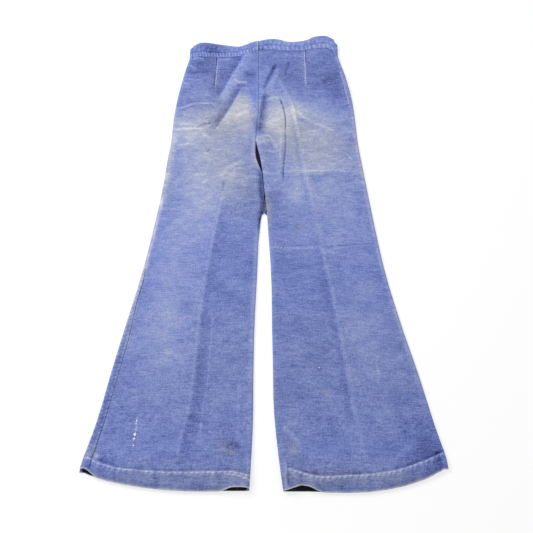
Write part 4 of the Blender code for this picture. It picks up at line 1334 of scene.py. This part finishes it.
def felled_outseam(side):
    """The strip of one felled outseam that shows on top of the back."""
    outward = SIDES[side]
    edges = node_edges(f"outseam_fell_{side}")
    low, high = edges[:, :, 1].min() + FELL_TRIM, edges[:, :, 1].max() - FELL_TRIM
    share = np.linspace(0, 1, FELL_COLUMNS)
    ys = np.linspace(low, high, FELL_ROWS[side])
    outer = np.interp(ys, *back_outlines[side]["outer"].T) - outward * FELL_INSET
    inner = outer - outward * np.interp(ys, *zip(*FELL_WIDTHS[side]))
    x = inner[:, None] + share * (outer - inner)[:, None]
    y = np.broadcast_to(ys[:, None], x.shape)
    start, start_over, lifted = FELL_START
    sink, sink_over = FELL_SINK
    z = drop_height(surface_of(back_legs[side]), x, y, FELL_ABOUT)
    z = z + FELL_LIFT * ease(start + (high - y) / start_over + (share > lifted))
    z = z - sink * ease(1 - (y - low) / sink_over)
    (seed_in, seed_out), (paler_in, paler_out) = FELL_SEEDS, FELL_PALER
    across_in, across_out = outward * (x - inner[:, None]), outward * (outer[:, None] - x)
    rope_in = roped(y, across_in, FELL_ROPE_REACH, seed_in, FELL_STEP, FELL_LEAN)
    rope_out = roped(y + FELL_OUTER_SHIFT, across_out, FELL_ROPE_REACH, seed_out, FELL_STEP, FELL_LEAN)
    z = z + FELL_ROPE * (rope_in + FELL_OUTER_ROPE * rope_out) * (1 - share**FELL_FLAT_EDGE)
    table = np.array(FELL_FADING[side])
    inner_fade, outer_fade, greyed = (np.interp(y, table[:, 0], table[:, k]) for k in (1, 2, 3))
    pale_in, pale_out = paler_in * (rope_in - ROPE_MIDDLE), paler_out * (rope_out - ROPE_MIDDLE)
    puckers = np.where(share < 0.5, pale_in, pale_out)
    size, seed, wrinkle_paler = FELL_WRINKLES
    faded = inner_fade + share * (outer_fade - inner_fade) + puckers
    faded = faded + wrinkle_paler * wrinkled(x, y, size, 1.0, seed)
    values = {"faded": faded, "greyed": greyed}
    sheet = lay_sheet(f"fell_{side}", x, y, z, values, FELL_WALL, True, panel_denim)
    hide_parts(f"outseam_fell_{side}")
    return sheet


fells = {side: felled_outseam(side) for side in SIDES}

# Everything is sewn with pale thread, in rows of small stitches that sink into the cloth. The
# darts and the mended knee show their thread only as short ticks.
STITCH_WIDTH = 0.0009
STITCH_HEIGHT = 0.0005
STITCH_SINK = 0.3  # share of its height that a stitch lies in the cloth
STITCH_TWIST = 0.12
STITCH_VARIES = 0.3
STITCH_NOISE = (31.7, 53.1, 0.71)  # along x, along y, from one stitch to the next
THREAD_ROUGHNESS = 0.8
THREAD_GLOSS = 0.2
ROW_LENGTH = 0.0032
ROW_STEP = 0.0042
BAND_DEPTH = 0.033
BAND_ROW_UP = (0.0024, 0.0285)
BAND_ROW_POINTS = slice(4, -3, 8)  # of the line of the band's back
CENTRE_ROW_END = 0.003
CENTRE_ROW_IN = 0.0022
THREAD = (196, 200, 216)
WORN_THREAD = (190, 198, 224)
# Ticks beside the darts and at the knee: path, length, step, lean in degrees, to the right by
TICKS = {
    "dart_left": (
        [(-0.1140, 0.4740), (-0.1155, 0.4400), (-0.1185, 0.4000)], 0.0075, 0.0072, 84, -0.0040),
    "dart_right": (
        [(0.0975, 0.5060), (0.0980, 0.4800), (0.0990, 0.4500)], 0.0095, 0.0064, 84, 0.0050),
    "dart_right_low": (
        [(0.0990, 0.4500), (0.1000, 0.4100)], 0.0045, 0.0070, 84, 0.0025),
    "knee": (
        [(0.0145, -0.0410), (0.0390, -0.0425), (0.0670, -0.0435), (0.0820, -0.0425)],
        0.0062, 0.0066, -42, 0.0),
    "knee_end": (
        [(0.0940, -0.0410), (0.1210, -0.0395), (0.1580, -0.0365)], 0.0052, 0.0130, -20, 0.0),
}
# The hem's stitches are drawn long: pale dashes for its thread and for the highlights on its puckers.
HEM_STITCH = (0.0060, 0.0105, 0.0, 0.0012)  # length, step, lean, to the right by
TICK_WIDTH = 0.0013


def spaced(path, step):
    """Places along a smooth curve through a path, a step apart, each with the way that it runs."""
    curve = smooth_path(path)
    left = 0.5 * step
    for start, end in zip(curve, curve[1:]):
        way = end - start
        while left < way.length:
            yield start + left * way.normalized(), way.normalized()
            left += step
        left -= way.length


def add_stitches(
    shape, cloth, path, length=ROW_LENGTH, step=ROW_STEP, lean=0.0, aside=0.0,
    width=STITCH_WIDTH, under=False,
):
    """Lays stitches along a path on the cloth, each turned and moved to the right of its way."""
    look = Vector((0, 0, 1 if under else -1))
    for count, (place, way) in enumerate(spaced(path, step)):
        right = Vector((way.y, -way.x))
        spot = place + aside * right
        hit, normal, _, _ = cloth.ray_cast(Vector((spot.x, spot.y, -look.z)), look)
        if hit is None:
            continue
        uneven = noise.noise(Vector(STITCH_NOISE) * Vector((spot.x, spot.y, count)))
        turn = math.atan2(way.y, way.x) + math.radians(lean) + STITCH_TWIST * uneven
        size = (length * (1 + STITCH_VARIES * uneven), width, STITCH_HEIGHT)
        normal = normal if normal.z * look.z < 0 else -normal
        lift = (0.5 - STITCH_SINK) * STITCH_HEIGHT
        level = normal.to_track_quat("Z", "X").to_matrix().to_4x4()
        along = level.inverted() @ Vector((math.cos(turn), math.sin(turn), 0.0))
        spin = Matrix.Rotation(math.atan2(along.y, along.x), 4, "Z")
        scale = Matrix.Diagonal((*size, 1.0))
        matrix = Matrix.Translation(hit + lift * normal) @ level @ spin @ scale
        bmesh.ops.create_icosphere(shape, subdivisions=1, radius=0.5, matrix=matrix)


def finish_stitches(name, shape, material):
    """Makes the stitches one piece that rides on the jeans."""
    mesh = bpy.data.meshes.new(name)
    shape.to_mesh(mesh)
    shape.free()
    mesh.materials.append(material)
    mesh.shade_smooth()
    row = bpy.data.objects.new(name, mesh)
    scene.collection.objects.link(row)
    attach(row, "root")
    return row


def thread_material(name, colour):
    """Matt cotton thread."""
    made = bpy.data.materials.new(name)
    made.use_nodes = True
    shader = made.node_tree.nodes["Principled BSDF"]
    shader.inputs["Base Color"].default_value = (*paint(*colour), 1.0)
    shader.inputs["Roughness"].default_value = THREAD_ROUGHNESS
    shader.inputs["Specular IOR Level"].default_value = THREAD_GLOSS
    return made


pale_thread = thread_material("pale_thread", THREAD)
worn_thread = thread_material("worn_thread", WORN_THREAD)
top_cloth = surface_of(*back_legs.values(), *waistbands.values(), *fells.values())
under_cloth = surface_of(*front_legs.values(), *waistbands.values())

hem_rows = bmesh.new()
for side in SIDES:
    add_stitches(hem_rows, top_cloth, SEWN_ROWS[f"hem_{side}"][-1], *HEM_STITCH)
    add_stitches(hem_rows, under_cloth, SEWN_ROWS[f"hem_{side}"][-1], *HEM_STITCH, under=True)
finish_stitches("hem_stitches", hem_rows, pale_thread)

band_rows = bmesh.new()
for side, outward in SIDES.items():
    line = band_lines[side][BAND_ROW_POINTS]
    for rise in BAND_ROW_UP:
        path = [(x, seam + rise * (top - seam) / BAND_DEPTH) for x, seam, top in line]
        add_stitches(band_rows, top_cloth, path)
        add_stitches(band_rows, under_cloth, path, under=True)
    x, seam, top = band_lines[side][0]
    beside = x + outward * CENTRE_ROW_IN
    ends = [(beside, seam + CENTRE_ROW_END), (beside, top - CENTRE_ROW_END)]
    add_stitches(band_rows, top_cloth, ends)
finish_stitches("band_stitches", band_rows, pale_thread)

tick_rows = bmesh.new()
for path, length, step, lean, aside in TICKS.values():
    add_stitches(tick_rows, top_cloth, path, length, step, lean, aside, TICK_WIDTH)
finish_stitches("dart_and_knee_stitches", tick_rows, worn_thread)

# The left leg has been mended above the hem with a few knots of white thread, and specks of
# white paint have dried on the right one.
KNOT_WHITE = (236, 240, 244)
KNOT_FLATTEN = 0.45
KNOT_LIFT = 0.15
# Knots down the left leg: x, y, width
KNOTS = [
    (-0.2470, -0.4170, 0.0030), (-0.2476, -0.4225, 0.0026), (-0.2476, -0.4340, 0.0022),
    (-0.2480, -0.4435, 0.0058), (-0.2492, -0.4515, 0.0042), (-0.2496, -0.4640, 0.0034),
]
# Specks of paint on the right leg: the same columns
SPECKS = [
    (0.0745, 0.1050, 0.0034), (0.1100, -0.3110, 0.0026), (0.1310, -0.2270, 0.0022),
    (0.0440, 0.0700, 0.0020),
]
THREAD_PATH = [
    (-0.2462, -0.4100), (-0.2474, -0.4225), (-0.2466, -0.4330), (-0.2480, -0.4435),
    (-0.2492, -0.4515), (-0.2494, -0.4560),
]
THREAD_STITCH = (0.0042, 0.0036)  # length, step

knots = bmesh.new()
for x, y, width in KNOTS + SPECKS:
    hit = top_cloth.ray_cast(Vector((x, y, 1.0)), Vector((0, 0, -1)))[0]
    squashed = Matrix.Diagonal((width, width, KNOT_FLATTEN * width, 1.0))
    matrix = Matrix.Translation(hit + Vector((0, 0, KNOT_LIFT * width))) @ squashed
    bmesh.ops.create_icosphere(knots, subdivisions=2, radius=0.5, matrix=matrix)
add_stitches(knots, top_cloth, THREAD_PATH, *THREAD_STITCH)
white_thread = thread_material("white_thread", KNOT_WHITE)
finish_stitches("knots_and_specks", knots, white_thread)

# Behind the front seam a brass zip closes the jeans, and a flat steel hook and bar close the
# band. Both are hidden, and dulled by washing.
METAL_DULLED = 0.35
DULL_BELOW = 0.35
BRIGHT_ABOVE = 0.60
SPOT_DETAIL = 4.0
# Metal of each: colour, roughness, spots
METALS = {
    "front_zip": ((0.42, 0.33, 0.17), 0.42, 220.0),
    "waist_hook": ((0.50, 0.50, 0.52), 0.34, 300.0),
}


def dulled_metal(name, colour, roughness, spots):
    """Metal with dull spots from washing."""
    made = bpy.data.materials.new(name)
    made.use_nodes = True
    tree = made.node_tree
    shader = tree.nodes["Principled BSDF"]
    shader.inputs["Metallic"].default_value = 1.0
    place = add_node(tree, "ShaderNodeTexCoord").outputs["Object"]
    stain = add_noise(tree, place, (1.0, 1.0, 1.0), spots, SPOT_DETAIL)
    ramp = add_node(tree, "ShaderNodeValToRGB")
    tree.links.new(stain, ramp.inputs["Fac"])
    dull, bright = ramp.color_ramp.elements
    dull.position = DULL_BELOW
    dull.color = (*(METAL_DULLED * channel for channel in colour), 1.0)
    bright.position = BRIGHT_ABOVE
    bright.color = (*colour, 1.0)
    tree.links.new(ramp.outputs["Color"], shader.inputs["Base Color"])
    shader.inputs["Roughness"].default_value = roughness
    return made


for name, (colour, roughness, spots) in METALS.items():
    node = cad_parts[name]
    node.data.materials.clear()
    node.data.materials.append(dulled_metal(name, colour, roughness, spots))
